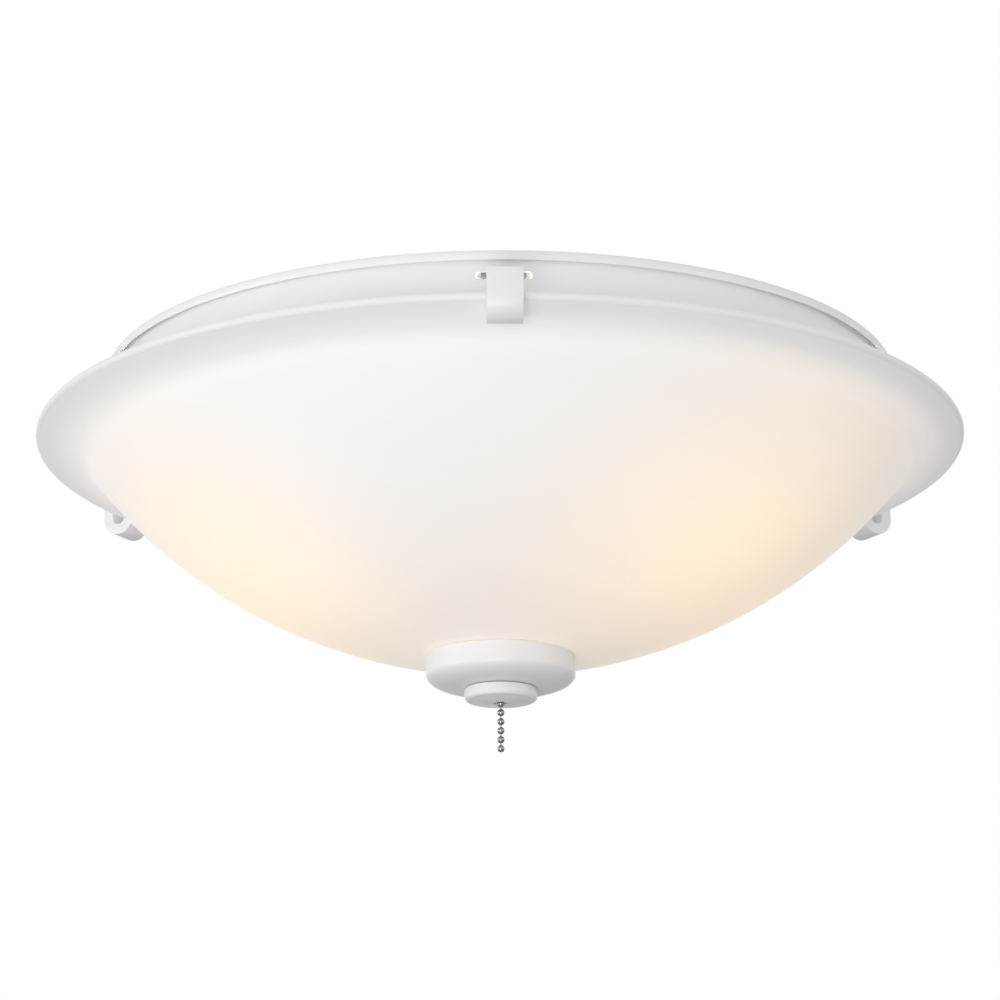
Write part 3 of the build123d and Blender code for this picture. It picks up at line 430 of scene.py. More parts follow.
def turnedMesh(name, outline, steps=96, wave=None, sharp=32.0):
    # a closed outline of (radius, height) turned round Z, where wave(radius, height, angle) gives a new radius
    bm = bmesh.new()
    rings = []
    for step in range(steps):
        angle = 2 * math.pi * step / steps
        ring = []
        for radius, height in outline:
            out = wave(radius, height, angle) if wave else radius
            ring.append(bm.verts.new((out * math.cos(angle), out * math.sin(angle), height)))
        rings.append(ring)
    for step in range(steps):
        here, there = rings[step], rings[(step + 1) % steps]
        for k in range(len(outline)):
            after = (k + 1) % len(outline)
            if outline[k][0] == 0.0 and outline[after][0] == 0.0:
                continue
            bm.faces.new([here[k], there[k], there[after], here[after]])
    return closeMesh(name, bm, sharp)


def newTree(name, sockets):
    # a Geometry Nodes tree with named inputs, their sockets and each input's identifier
    tree = bpy.data.node_groups.new(name, "GeometryNodeTree")
    tree.interface.new_socket("Geometry", in_out="INPUT", socket_type="NodeSocketGeometry")
    keys = {label: tree.interface.new_socket(label, in_out="INPUT", socket_type="NodeSocket" + kind).identifier
            for label, kind in sockets.items()}
    tree.interface.new_socket("Geometry", in_out="OUTPUT", socket_type="NodeSocketGeometry")
    return tree, tree.nodes.new("NodeGroupInput").outputs, keys


def closeTree(tree, geometry, material):
    real = addNode(tree, "GeometryNodeRealizeInstances", {0: geometry})
    painted = addNode(tree, "GeometryNodeSetMaterial", {"Geometry": real, "Material": material})
    addNode(tree, "NodeGroupOutput", {0: painted})


def bakedMesh(piece, modifier):
    # the mesh that a modifier makes, and the modifier gone
    bpy.context.view_layer.update()
    graph = bpy.context.evaluated_depsgraph_get()
    mesh = bpy.data.meshes.new_from_object(piece.evaluated_get(graph))
    piece.modifiers.remove(modifier)
    return mesh


def runTree(name, tree, keys, values, base=None, sharp=32.0):
    # runs a tree on a base mesh and gives its result as a plain piece
    source = newPiece(name + "Source", base or bpy.data.meshes.new(name + "Source"))
    modifier = source.modifiers.new("shape", "NODES")
    modifier.node_group = tree
    for label, value in values.items():
        modifier[keys[label]] = value
    mesh = bakedMesh(source, modifier)
    bpy.data.objects.remove(source)
    mesh.name = name
    smoothMesh(mesh, sharp)
    return newPiece(name, mesh)


def cutBy(piece, cutter):
    # the piece less the cutter
    modifier = piece.modifiers.new("cut", "BOOLEAN")
    modifier.operation, modifier.solver, modifier.object = "DIFFERENCE", "EXACT", cutter
    piece.data = bakedMesh(piece, modifier)
    bpy.data.objects.remove(cutter)
    smoothMesh(piece.data)
    return piece


# Turned shell: a closed outline carried round a circle
def turnedTree():
    tree, ask, keys = newTree("turnedShell", {"Steps": "Int", "Path radius": "Float", "Material": "Material"})
    outline = addNode(tree, "GeometryNodeMeshToCurve", {0: ask["Geometry"]})
    path = addNode(tree, "GeometryNodeCurvePrimitiveCircle",
                   {"Resolution": ask["Steps"], "Radius": ask["Path radius"]})
    shell = addNode(tree, "GeometryNodeCurveToMesh",
                    {"Curve": path, "Profile Curve": outline})
    closeTree(tree, shell, ask["Material"])
    return tree, keys


turned = turnedTree()


def turnedPiece(name, outline, slotName, pathRadius, steps):
    # the outline is upside down here, because the path's own up is down
    points = [((radius - pathRadius) / 1000, -height / 1000, 0) for radius, height in outline]
    base = bpy.data.meshes.new(name + "Outline")
    base.from_pydata(points, [(k, (k + 1) % len(points)) for k in range(len(points))], [])
    piece = runTree(name, *turned, {"Steps": steps, "Path radius": pathRadius / 1000,
                                    "Material": materials[slotName]}, base)
    bm = bmesh.new()
    bm.from_mesh(piece.data)
    bmesh.ops.recalc_face_normals(bm, faces=bm.faces)
    bm.to_mesh(piece.data)
    bm.free()
    return piece


# Glass bowl: one spherical wall, folded into a flat brim, with a ground hole in the middle
bowlShape = {
    "rimRadius": 203.2, "rimHeight": -29.1, "brimWidth": 20.9, "brimSlope": 15.0, "wall": 4.0, "depth": 96.0,
    "fold": 13.0, "rimRound": 1.95, "seatRadius": 37.2, "holeRadius": 7.0, "holeEase": 0.5, "wallRows": 48,
    "foldRows": 14,
}


def bowlOutline(rimRadius, rimHeight, brimWidth, brimSlope, wall, depth, fold, rimRound, seatRadius, holeRadius,
                holeEase, wallRows, foldRows):
    slope = math.radians(brimSlope)
    along, below = Vector((math.cos(slope), math.sin(slope))), Vector((math.sin(slope), -math.cos(slope)))
    half = wall / math.cos(slope) / 2
    corner = Vector((rimRadius - brimWidth, rimHeight - half - brimWidth * math.tan(slope)))
    cap = corner.y - rimHeight + depth
    ball = (corner.x ** 2 + cap ** 2) / (2 * cap)
    centre = Vector((0, rimHeight - depth + ball))
    # the fold's own centre lies below the brim and outside the ball, by the fold radius from both
    start = corner + below * fold - centre
    lead = start.dot(along)
    root = math.sqrt(lead * lead - start.length_squared + (ball + fold) ** 2)
    bend = centre + start + along * (root - lead)
    touch = math.atan2(centre.y - bend.y, centre.x - bend.x)
    brim = math.atan2(-below.y, -below.x)
    seat = centre.y - math.sqrt(ball ** 2 - seatRadius ** 2)

    def wallSide(radius, seatHeight, bendRadius):
        low = math.asin((centre.y - seatHeight) / radius)
        high = math.pi / 2 - math.atan2(bend.x, centre.y - bend.y)
        turns = [low + (high - low) * k / wallRows for k in range(wallRows + 1)]
        points = [(radius * math.cos(turn), centre.y - radius * math.sin(turn)) for turn in turns]
        return points + arcPoints(bend, bendRadius, touch, brim, foldRows)[1:]

    under, over = wallSide(ball, seat, fold), wallSide(ball - wall, seat + wall, fold + wall)
    rim = [(rimRadius, rimHeight + way * half, rimRound) for way in (-1, 1)]
    hole = [(holeRadius, height, holeEase) for height in (seat + wall, seat)]
    return roundCorners(under + rim + over[::-1] + hole)


glassBowl = turnedPiece("glassBowl", bowlOutline(**bowlShape), "opal_glass", pathRadius=120.0, steps=240)
finishPiece(glassBowl, "fixture", "opal_glass", "glass_bowl")
print("glass bowl made")


# Hook clips: a bent leg outside the rim, hooked under the brim, on a sloping arm with a wide tail
clipShape = {
    "legOut": 210.0, "legTop": -20.5, "thick": 5.0, "width": 14.0, "hookDrop": 11.2, "hookWidth": 16.5,
    "hookRows": 60, "rimHeight": -29.1, "brimSlope": 15.0, "brimUnder": -31.171, "brimOut": 203.2,
    "glassGap": 0.3, "slope": 16.029, "armThick": 1.6, "tailOut": 150.0, "tailIn": 147.0, "tailWidth": 18.8,
    "edge": 0.6, "tailEdge": 0.25, "easedFrom": 25.0,
    "turns": {"front": -90.0, "right": 30.0, "left": 150.0},
}


def solidBetween(near, far):
    # a closed solid between two outlines of as many points
    bm = bmesh.new()
    near, far = [[bm.verts.new(point) for point in outline] for outline in (near, far)]
    bm.faces.new(near)
    bm.faces.new(far[::-1])
    for k in range(len(near)):
        after = (k + 1) % len(near)
        bm.faces.new((near[k], far[k], far[after], near[after]))
    return bm


def prism(outline, width, edge):
    # an outline (out, height) made as wide as asked, with all its edges eased
    bm = solidBetween([(x, -width / 2, z) for x, z in outline], [(x, width / 2, z) for x, z in outline])
    bmesh.ops.recalc_face_normals(bm, faces=bm.faces)
    sharpEdges = [e for e in bm.edges if e.calc_face_angle(0.0) > math.radians(clipShape["easedFrom"])]
    bmesh.ops.bevel(bm, geom=sharpEdges, offset=edge, segments=3, profile=0.5, affect="EDGES",
                    clamp_overlap=True)
    return bm


def clipOutlines(shape):
    # the leg with its hook and arm, and the tail
    slope = math.tan(math.radians(shape["slope"]))
    rise = shape["armThick"] * math.sqrt(1 + slope ** 2)
    radius = shape["hookWidth"] / 2
    middle = (shape["legOut"] - radius, shape["rimHeight"] - shape["hookDrop"] + radius)
    legIn, tailIn, tailOut = shape["legOut"] - shape["thick"], shape["tailIn"], shape["tailOut"]

    def armTop(out):
        return shape["legTop"] + (shape["legOut"] - out) * slope

    def brimCut(out):
        drop = (shape["brimOut"] - out) * math.tan(math.radians(shape["brimSlope"]))
        return shape["brimUnder"] - drop - shape["glassGap"]

    def hookSide(size):
        path = []
        for k in range(shape["hookRows"] + 1):
            angle = -math.pi * k / shape["hookRows"]
            x, z = middle[0] + size * math.cos(angle), middle[1] + size * math.sin(angle)
            if math.cos(angle) < 0 and z > brimCut(x):
                break
            path.append((x, z))
        return path

    arm = [(legIn, armTop(legIn) - rise), (tailIn, armTop(tailIn) - rise),
           (tailIn, armTop(tailIn)), (shape["legOut"], shape["legTop"])]
    tail = [(tailIn, armTop(tailIn) - rise), (tailOut, armTop(tailOut) - rise),
            (tailOut, armTop(tailOut)), (tailIn, armTop(tailIn))]
    return hookSide(radius) + hookSide(radius - shape["thick"])[::-1] + arm, tail


clipLeg, clipTail = clipOutlines(clipShape)
for side, turn in clipShape["turns"].items():
    bm = prism(clipLeg, clipShape["width"], clipShape["edge"])
    tailPart = prism(clipTail, clipShape["tailWidth"], clipShape["tailEdge"])
    tailMesh = bpy.data.meshes.new("tail")
    tailPart.to_mesh(tailMesh)
    tailPart.free()
    bm.from_mesh(tailMesh)
    bmesh.ops.rotate(bm, verts=bm.verts, cent=(0, 0, 0), matrix=turnAbout("Z", turn).to_3x3())
    clip = newPiece(f"hookClip.{side}", closeMesh(f"hookClip.{side}", bm))
    finishPiece(clip, f"clip_{side}", "white_paint", f"clip_{side}")
print("clips made")


# Bead chain: hollow beads with a turned-in lip at each hole, and dumb-bell links between them
chainShape = {
    "bead": 1.6, "lip": 0.55, "lipTurn": 0.8, "lipDepth": 0.3, "beadSides": 28, "beadRows": 14,
    "wire": 0.42, "linkFoot": 0.72, "linkNeck": 0.78, "linkHead": 0.35, "linkSides": 12,
    "pitch": 3.96, "firstHeight": -147.262, "count": 32, "endCount": 3,
}


def beadMesh(shape):
    low = math.asin(shape["lip"] / shape["bead"])
    turns = [low + (math.pi - 2 * low) * k / shape["beadRows"] for k in range(shape["beadRows"] + 1)]
    ball = [(shape["bead"] * math.sin(turn), shape["bead"] * math.cos(turn)) for turn in turns]
    edge, inner = ball[0][1] - shape["lipDepth"], shape["lip"] * shape["lipTurn"]
    return turnedMesh("bead", [(0.0, edge), (inner, edge)] + ball + [(inner, -edge), (0.0, -edge)],
                      shape["beadSides"], sharp=50.0)


def linkMesh(shape):
    # the link stands above its bead and reaches into the next one
    foot, wire, head = shape["bead"] * shape["linkFoot"], shape["wire"], shape["linkHead"]
    neck, top = wire * shape["linkNeck"], shape["pitch"] - foot
    path = [(0.0, foot), (wire, foot), (neck, foot + head), (neck, top - head), (wire, top), (0.0, top)]
    return turnedMesh("link", path, shape["linkSides"], sharp=50.0)


def beadTree():
    tree, ask, keys = newTree("beadLine", {
        "Count": "Int", "First height": "Float", "Pitch": "Float", "Links": "Int",
        "Bead": "Object", "Link": "Object", "Material": "Material"})
    start = addNode(tree, "ShaderNodeCombineXYZ", {2: ask["First height"]})
    step = addNode(tree, "ShaderNodeCombineXYZ", {2: ask["Pitch"]})
    joined = addNode(tree, "GeometryNodeJoinGeometry")
    for amount, shape in (("Count", "Bead"), ("Links", "Link")):
        line = addNode(tree, "GeometryNodeMeshLine", {
            "Count": ask[amount], "Start Location": start, "Offset": step})
        source = addNode(tree, "GeometryNodeObjectInfo", {"Object": ask[shape]})
        run = addNode(tree, "GeometryNodeInstanceOnPoints", {
            "Points": line, "Instance": source.outputs["Geometry"]})
        tree.links.new(run.outputs[0], joined.inputs[0])
    closeTree(tree, joined, ask["Material"])
    return tree, keys


beads = beadTree()
bead, link = newPiece("beadShape", beadMesh(chainShape)), newPiece("linkShape", linkMesh(chainShape))
first, pitch, endCount = chainShape["firstHeight"], chainShape["pitch"], chainShape["endCount"]
for name, body, node, lowest, count, links in (
        ("pullChain", "chain", "pull_chain", first, chainShape["count"], chainShape["count"] - 1),
        ("chainBead", "chain_bead", "chain_bead", first - pitch, 1, 1),
        ("chainEnd", "chain_end", "chain_end", first - pitch * (1 + endCount), endCount, endCount)):
    run = runTree(name, *beads, {
        "Count": count, "First height": lowest / 1000, "Pitch": pitch / 1000, "Links": links,
        "Bead": bead, "Link": link, "Material": materials["chain_nickel"]})
    finishPiece(run, body, "chain_nickel", node)
print("chain made")


# Threads: a turned outline whose rows rise and fall with a helix
pipePitch = 0.941
pipeStep = pipePitch / 5  # rows along the axis


def threadCut(pitch, height, angle):
    # from 0 at the crest of the thread to 1 at its root
    return 0.5 + 0.5 * math.cos(height / pitch * 2 * math.pi - angle)


def threadWave(pitch, depth, low, high, about):
    # only the rows within 0.2 of the radius about are threaded
    def wave(radius, height, angle):
        if not low < height < high or not about - 0.2 < radius < about + 0.2:
            return radius
        return radius - depth * min(1.0, (height - low) / pitch, (high - height) / pitch) \
            * threadCut(pitch, height, angle)
    return wave


# Fasteners: one shape of each, set on its places by one tree
def placeTree():
    tree, ask, keys = newTree("fastenersOnPlaces", {
        "Fastener": "Object", "Facing": "Rotation", "Turn of each": "Float", "Material": "Material"})
    points = addNode(tree, "GeometryNodeMeshToPoints", {0: ask["Geometry"]})
    source = addNode(tree, "GeometryNodeObjectInfo", {"Object": ask["Fastener"]})
    order = addNode(tree, "GeometryNodeInputIndex")
    turn = addNode(tree, "ShaderNodeMath", {0: order, 1: ask["Turn of each"]}, operation="MULTIPLY")
    spin = addNode(tree, "FunctionNodeAxisAngleToRotation", {"Angle": turn})
    facing = addNode(tree, "FunctionNodeRotateRotation", {0: ask["Facing"], 1: spin},
                     rotation_space="LOCAL")
    placed = addNode(tree, "GeometryNodeInstanceOnPoints", {
        "Points": points, "Instance": source.outputs["Geometry"], "Rotation": facing})
    closeTree(tree, placed, ask["Material"])
    return tree, keys


places = placeTree()


def fastenersOn(name, points, fastener, facing=(0, 0, 0), turnOfEach=0.7):
    base = bpy.data.meshes.new(name + "Places")
    base.from_pydata([tuple(c / 1000 for c in point) for point in points], [], [])
    return runTree(name, *places, {"Fastener": fastener, "Facing": facing, "Turn of each": turnOfEach,
                                   "Material": materials["zinc_plate"]}, base)


def ringOf(count, radius, height, start=0.0):
    turns = [math.radians(start + 360 * k / count) for k in range(count)]
    return [(radius * math.cos(turn), radius * math.sin(turn), height) for turn in turns]


screwShape = {
    "head": 2.9, "headHeight": 2.0, "headRound": 1.1, "seatRound": 0.15, "neck": 2.6, "shank": 1.9,
    "crest": 0.05, "tip": 0.5, "threadEnd": 0.9, "pitch": 0.8, "depth": 0.22, "rowsPerTurn": 6, "sides": 28,
    "cross": 0.62, "crossLong": 1.75, "crossDepth": 1.1, "crossFoot": 0.6, "crossMouth": 1.15, "past": 0.4,
}
screwPlaces = {  # shank length, turn of each, and the ring's count, radius, height and first angle
    "skirt": (2.4, 0.7, (6, 163.4, -2.4)),
    "cup": (3.0, 1.1, (3, 37.5, -3.0, 30.0)),
}
socketScrewPlaces = {"length": 6.0, "out": 22.0, "apart": 10.0, "height": -55.7, "turnOfEach": 0.9}


def crossScrew(length, head, headHeight, headRound, seatRound, neck, shank, crest, tip, threadEnd, pitch, depth,
               rowsPerTurn, sides, cross, crossLong, crossDepth, crossFoot, crossMouth, past):
    # the head hangs below its seat at height 0 and the threaded shank stands above it
    threadTop, rows = length - threadEnd, max(8, int(length / pitch * rowsPerTurn))
    path = [(0.0, length - tip), (shank - tip, length - tip)]
    path += [(shank - crest, threadTop * (1 - k / rows)) for k in range(rows + 1)] + [(neck, 0.0)]
    path += roundCorners([(head, 0.0, seatRound), (head, -headHeight, headRound), (0.0, -headHeight)], 8)

    def thread(radius, height, angle):
        threaded = crest < height <= threadTop and radius >= tip
        return radius - depth * threadCut(pitch, height, angle) if threaded else radius

    corners = []
    for k in range(4):
        turn = Matrix.Rotation(math.pi / 2 * k, 2)
        corners += [turn @ Vector(c) for c in ((cross, cross), (cross, crossLong), (-cross, crossLong))]
    recess = solidBetween([(c.x * crossFoot, c.y * crossFoot, crossDepth - headHeight) for c in corners],
                          [(c.x * crossMouth, c.y * crossMouth, -headHeight - past) for c in corners])
    return cutBy(newPiece("screwShape", turnedMesh("screwShape", path, sides, thread, 40.0)),
                 newPiece("crossCutter", closeMesh("crossCutter", recess)))


for name, (length, turnOfEach, ring) in screwPlaces.items():
    screw = crossScrew(length, **screwShape)
    placed = fastenersOn(f"{name}Screws", ringOf(*ring), screw, turnOfEach=turnOfEach)
    finishPiece(placed, "fixture", "zinc_plate", f"{name}_screws")
    bpy.data.objects.remove(screw)

screw = crossScrew(socketScrewPlaces["length"], **screwShape)
both = bmesh.new()
for way in (-1, 1):
    points = [(way * socketScrewPlaces["out"], y * socketScrewPlaces["apart"], socketScrewPlaces["height"])
              for y in (-1, 1)]
    placed = fastenersOn(f"socketScrews{way}", points, screw, (0, way * math.pi / 2, 0),
                         socketScrewPlaces["turnOfEach"])
    both.from_mesh(placed.data)
    bpy.data.objects.remove(placed)
joined = bpy.data.meshes.new("socketScrews")
both.to_mesh(joined)
both.free()
smoothMesh(joined)
finishPiece(newPiece("socketScrews", joined), "fixture", "zinc_plate", "socket_screws")

# Tubular rivets: a head above the pan, a rolled edge below the bracket
rivetShape = {
    "place": 142.1, "across": 7.0, "shank": 1.6, "hole": 1.7, "foot": -2.0, "sides": 28,
    "dish": ((0.0, 0.45), (1.0, 0.55)), "dome": ((1.6, 0.7, 0.5), (2.8, 0.45, 0.3), (2.8, 0.0, 0.05)),
    "roll": ((2.8, 0.0), (2.65, -0.5), (1.9, -0.7), (1.1, -0.5), (0.9, 0.4), (0.0, 0.5)),  # up from the foot
}
rivetPath = [*rivetShape["dish"], *roundCorners(rivetShape["dome"], 5)]
rivetPath += [(rivetShape["shank"], 0.0), (rivetShape["shank"], rivetShape["foot"])]
rivetPath += [(out, rivetShape["foot"] + up) for out, up in rivetShape["roll"]]
rivet = newPiece("rivetShape", turnedMesh("rivetShape", rivetPath, rivetShape["sides"], sharp=40.0))
rivetPlaces = [tuple(turnAbout("Z", turn) @ Vector((rivetShape["place"], way * rivetShape["across"], 0.0)))
               for turn in clipShape["turns"].values() for way in (-1, 1)]
finishPiece(fastenersOn("bracketRivets", rivetPlaces, rivet), "fixture", "zinc_plate", "bracket_rivets")
for shape in (bead, link, screw, rivet):
    bpy.data.objects.remove(shape)
print("fasteners made")


# Return springs: close-wound wire with a hook at each end. Each stretches from its anchor to the sliding clip.
springShape = {"radius": 1.6, "wire": 0.3, "turns": 9.0, "start": 119.9, "end": 146.9, "height": -4.43,
               "steps": 18, "wireSides": 10, "hookSteps": 20}


def springTree():
    tree, ask, keys = newTree("returnSpring", {
        "Turns": "Float", "Coil radius": "Float", "Length": "Float", "Wire radius": "Float", "Hook": "Float",
        "Steps": "Int", "Wire sides": "Int", "Hook steps": "Int", "Material": "Material"})
    coil = addNode(tree, "GeometryNodeCurveSpiral", {
        "Resolution": ask["Steps"], "Rotations": ask["Turns"], "Height": ask["Length"],
        "Start Radius": ask["Coil radius"], "End Radius": ask["Coil radius"]})
    section = addNode(tree, "GeometryNodeCurvePrimitiveCircle", {
        "Resolution": ask["Wire sides"], "Radius": ask["Wire radius"]})
    ring = addNode(tree, "GeometryNodeCurvePrimitiveCircle", {
        "Resolution": ask["Hook steps"], "Radius": ask["Hook"]})
    wire = addNode(tree, "GeometryNodeCurveToMesh", {
        "Curve": coil, "Profile Curve": section, "Fill Caps": True})
    hook = addNode(tree, "GeometryNodeCurveToMesh", {
        "Curve": ring, "Profile Curve": section})
    far = addNode(tree, "ShaderNodeCombineXYZ", {2: ask["Length"]})
    upright = {"Geometry": hook, "Rotation": (math.pi / 2, 0, 0)}
    foot = addNode(tree, "GeometryNodeTransform", upright)
    top = addNode(tree, "GeometryNodeTransform", {**upright, "Translation": far})
    joined = addNode(tree, "GeometryNodeJoinGeometry")
    for part in (wire, foot, top):
        tree.links.new(part.outputs[0], joined.inputs[0])
    closeTree(tree, joined, ask["Material"])
    return tree, keys


springs = springTree()
radius, wire, height = springShape["radius"], springShape["wire"], springShape["height"]
length = springShape["end"] - springShape["start"]
springSizes = {
    "Turns": springShape["turns"], "Coil radius": radius / 1000, "Length": (length - 2 * radius) / 1000,
    "Wire radius": wire / 1000, "Hook": (radius - wire) / 1000, "Steps": springShape["steps"],
    "Wire sides": springShape["wireSides"], "Hook steps": springShape["hookSteps"],
    "Material": materials["spring_steel"],
}
for side, turn in clipShape["turns"].items():
    spring = runTree(f"returnSpring.{side}", *springs, springSizes, sharp=60.0)
    foot, start, end = [tuple(turnAbout("Z", turn) @ Vector((out / 1000, 0.0, height / 1000)))
                        for out in (springShape["start"] + radius, springShape["start"], springShape["end"])]
    spring.data.transform(Matrix.Translation(foot) @ turnAbout("Z", turn) @ turnAbout("Y", 90))
    paintPiece(spring, "spring_steel", f"clip_spring_{side}")
    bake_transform(spring)
print("springs made")


# Hollow stem, 1/8 pipe size, cut with 27 threads to the inch all the way down
stemShape = {"radius": 5.1, "bore": 3.4, "top": -27.0, "bottom": -139.202, "depth": 0.45, "ease": 0.4,
             "clear": 0.3, "sides": 32}


def stemMesh(radius, bore, top, bottom, depth, ease, clear, sides):
    path = [(bore, bottom), (radius - ease, bottom)] \
        + rowsBetween(radius, bottom + ease, top - ease, pipeStep) + [(radius - ease, top), (bore, top)]
    wave = threadWave(pipePitch, depth, bottom + clear, top - clear, radius)
    return turnedMesh("threadedStem", path, sides, wave, 60.0)


finishPiece(newPiece("threadedStem", stemMesh(**stemShape)), "fixture", "zinc_plate", "stem")
print("stem made")


# Mounting pan: a pressed disc with a stiffening rib, and a rolled band that hangs round its edge
panShape = {
    "hole": 9.5, "sheet": 1.2, "ribMiddle": 108.1, "ribWidth": 16.0, "ribHeight": 1.5, "ribRound": 4.0,
    "radius": 174.0, "bandInner": 172.4, "bandHeight": 4.2, "roll": 0.5, "rollHeight": 0.42, "rollRound": 4.0,
    "tuck": 0.2, "tuckRound": 0.15, "topRound": 0.9, "undercut": 0.9, "crisp": 0.1,
}
panHoles = {  # count, ring radius, first angle and hole radius
    "fan": (3, 46.0, 90.0, 2.4), "cup": (3, 37.5, 30.0, 2.0), "skirt": (6, 163.4, 0.0, 2.0),
    "ground": (1, 21.0, 135.0, 2.0),
}


def panOutline(hole, sheet, ribMiddle, ribWidth, ribHeight, ribRound, radius, bandInner, bandHeight, roll,
               rollHeight, rollRound, tuck, tuckRound, topRound, undercut, crisp):
    near, far, ease = ribMiddle - ribWidth / 2, ribMiddle + ribWidth / 2, ribWidth / 4
    rib = [(near, 0.0), (near + ease, ribHeight), (far - ease, ribHeight), (far, 0.0)]
    upper = [(out, height, ribRound) for out, height in rib]
    lower = [(out, height - sheet, ribRound) for out, height in rib[::-1]]
    band = [(radius - roll, 0.0, topRound), (radius, -bandHeight * rollHeight, rollRound),
            (radius - tuck, -bandHeight, tuckRound), (bandInner, undercut - bandHeight, tuck),
            (bandInner, -sheet, crisp)]
    return roundCorners([(hole, -sheet, crisp), (hole, 0.0, crisp)] + upper + band + lower, 5)


def drilled(piece, holes, reach, sides=28):
    # the piece with upright round holes (x, y, radius) through it
    bm = bmesh.new()
    for x, y, radius in holes:
        bmesh.ops.create_cone(bm, cap_ends=True, segments=sides, radius1=radius, radius2=radius,
                              depth=2 * reach, matrix=Matrix.Translation((x, y, 0.0)))
    return cutBy(piece, newPiece("drills", closeMesh("drills", bm)))


holes = [(x, y, radius) for count, ring, start, radius in panHoles.values()
         for x, y, height in ringOf(count, ring, 0.0, start)]
holes += [(x, y, rivetShape["hole"]) for x, y, height in rivetPlaces]
pan = turnedPiece("mountingPan", panOutline(**panShape), "white_paint", pathRadius=120.0, steps=240)
finishPiece(drilled(pan, holes, reach=3.0), "fixture", "white_paint", "mounting_pan")
print("pan made")


# Finial: a hollow cap with a curved under edge, and a crowned knob with the chain's hole
capShape = {
    "radius": 32.4, "top": -122.402, "bottom": -136.602, "hole": 8.5, "curveWidth": 14.0, "curveHeight": 6.0,
    "curveRows": 24, "edge": 0.6, "groove": 29.0, "grooveDepth": 1.5, "cavity": 21.5, "cavityRound": 0.8,
    "thick": 3.2, "boss": 12.0, "crisp": 0.2, "mouth": 0.3,
}
knobShape = {
    "radius": 15.75, "top": -136.902, "bottom": -142.102, "crown": 1.2, "crownEdge": 13.0, "crownRows": 16,
    "lowerRound": 1.7, "edge": 0.5, "hole": 3.15, "mouth": 0.3, "neck": 8.1, "neckHeight": 7.0, "neckFoot": 0.2,
    "neckRound": 0.5, "bore": 5.2, "boreRound": 0.4, "thick": 2.4, "crisp": 0.1,
}


def capOutline(radius, top, bottom, hole, curveWidth, curveHeight, curveRows, edge, groove, grooveDepth, cavity,
               cavityRound, thick, boss, crisp, mouth):
    ledge, floor = top - grooveDepth, bottom + thick
    turns = [math.pi / 2 * k / curveRows for k in range(curveRows + 1)]
    curve = [(radius - curveWidth * (1 - math.sin(turn)), bottom + curveHeight * (1 - math.cos(turn)))
             for turn in turns]
    return roundCorners(curve + [
        (radius, top, edge), (groove, top, crisp), (groove, ledge), (cavity, ledge, crisp),
        (cavity, floor, cavityRound), (boss, floor, cavityRound), (boss, ledge, crisp), (hole, ledge, crisp),
        (hole, bottom, mouth)])


def knobOutline(radius, top, bottom, crown, crownEdge, crownRows, lowerRound, edge, hole, mouth, neck,
                neckHeight, neckFoot, neckRound, bore, boreRound, thick, crisp):
    rise = [hole + (crownEdge - hole) * k / crownRows for k in range(1, crownRows + 1)]
    face = [(out, bottom - crown * (crownEdge ** 2 - out ** 2) / (crownEdge ** 2 - hole ** 2)) for out in rise]
    return roundCorners([(hole, bottom - crown, mouth)] + face + [
        (radius, bottom, lowerRound), (radius, top, edge), (neck, top, neckFoot),
        (neck, top + neckHeight, neckRound), (bore, top + neckHeight, boreRound), (bore, bottom + thick),
        (hole, bottom + thick, crisp)])


cap = turnedPiece("finialCap", capOutline(**capShape), "white_paint", pathRadius=20.0, steps=160)
finishPiece(cap, "cap", "white_paint", "finial_cap")
knob = turnedPiece("finialKnob", knobOutline(**knobShape), "white_paint", pathRadius=9.0, steps=120)
finishPiece(knob, "knob", "white_paint", "finial_knob")
print("finial made")


# Hexagons: both faces bevelled at 30 degrees, with a corner on the X axis and a threaded bore
hexShape = {"flats": 14.0, "face": 0.95, "bevel": (0.0, 0.15, 0.3, 0.45, 0.6, 0.8), "depth": 0.35,
            "clear": 0.02, "sides": 72}
nuts = {  # node, lowest and highest height, and each bore's radius, start and end
    "bracketNut": ("bracket_nut", -37.7, -33.2, ((5.15, -37.7, -33.2),)),
    "glassNut": ("glass_nut", -115.402, -110.902, ((5.15, -115.402, -110.902),)),
    "stemCoupling": ("stem_coupling", -30.7, -21.8, ((5.15, -30.7, -26.7), (4.75, -26.7, -21.8))),
}


def hexCorner(flats, angle):
    # how far out the side of a hexagon is at an angle
    return flats / 2 / math.cos(angle % (math.pi / 3) - math.pi / 6)


def hexMesh(name, low, high, bores, flats, face, bevel, depth, clear, sides):
    def wave(radius, height, angle):
        if radius < flats / 2 - 0.1:
            return radius + depth * threadCut(pipePitch, height, angle)
        return min(hexCorner(flats, angle), flats / 2 * face + min(height - low, high - height) * math.sqrt(3))

    inner = [row for bore, start, end in bores
             for row in rowsBetween(bore, start + clear, end - clear, pipeStep)]
    outer = [(flats / 2, high - b) for b in bevel] + [(flats / 2, low + b) for b in bevel[::-1]]
    return turnedMesh(name, inner + outer, sides, wave, 28.0)


for name, (node, low, high, bores) in nuts.items():
    finishPiece(newPiece(name, hexMesh(name, low, high, bores, **hexShape)), "fixture", "zinc_plate", node)

# Ground screw: hexagon head with a slot across it
groundShape = {
    "head": 2.9, "under": -1.2, "foot": -3.2, "crown": 0.35, "crownRadius": 2.45, "underRadius": 2.85,
    "underEase": 0.1, "shank": 1.9, "tipRadius": 1.4, "tip": -0.05, "threadTop": -0.3, "pitch": 0.8,
    "depth": 0.2, "step": 0.13, "sides": 36,
}
groundSlot = {"size": (8.0, 0.8, 1.8), "turn": 0.6}  # turn in radians
groundPlace = (-0.014849, 0.014849, 0.0)  # in metres


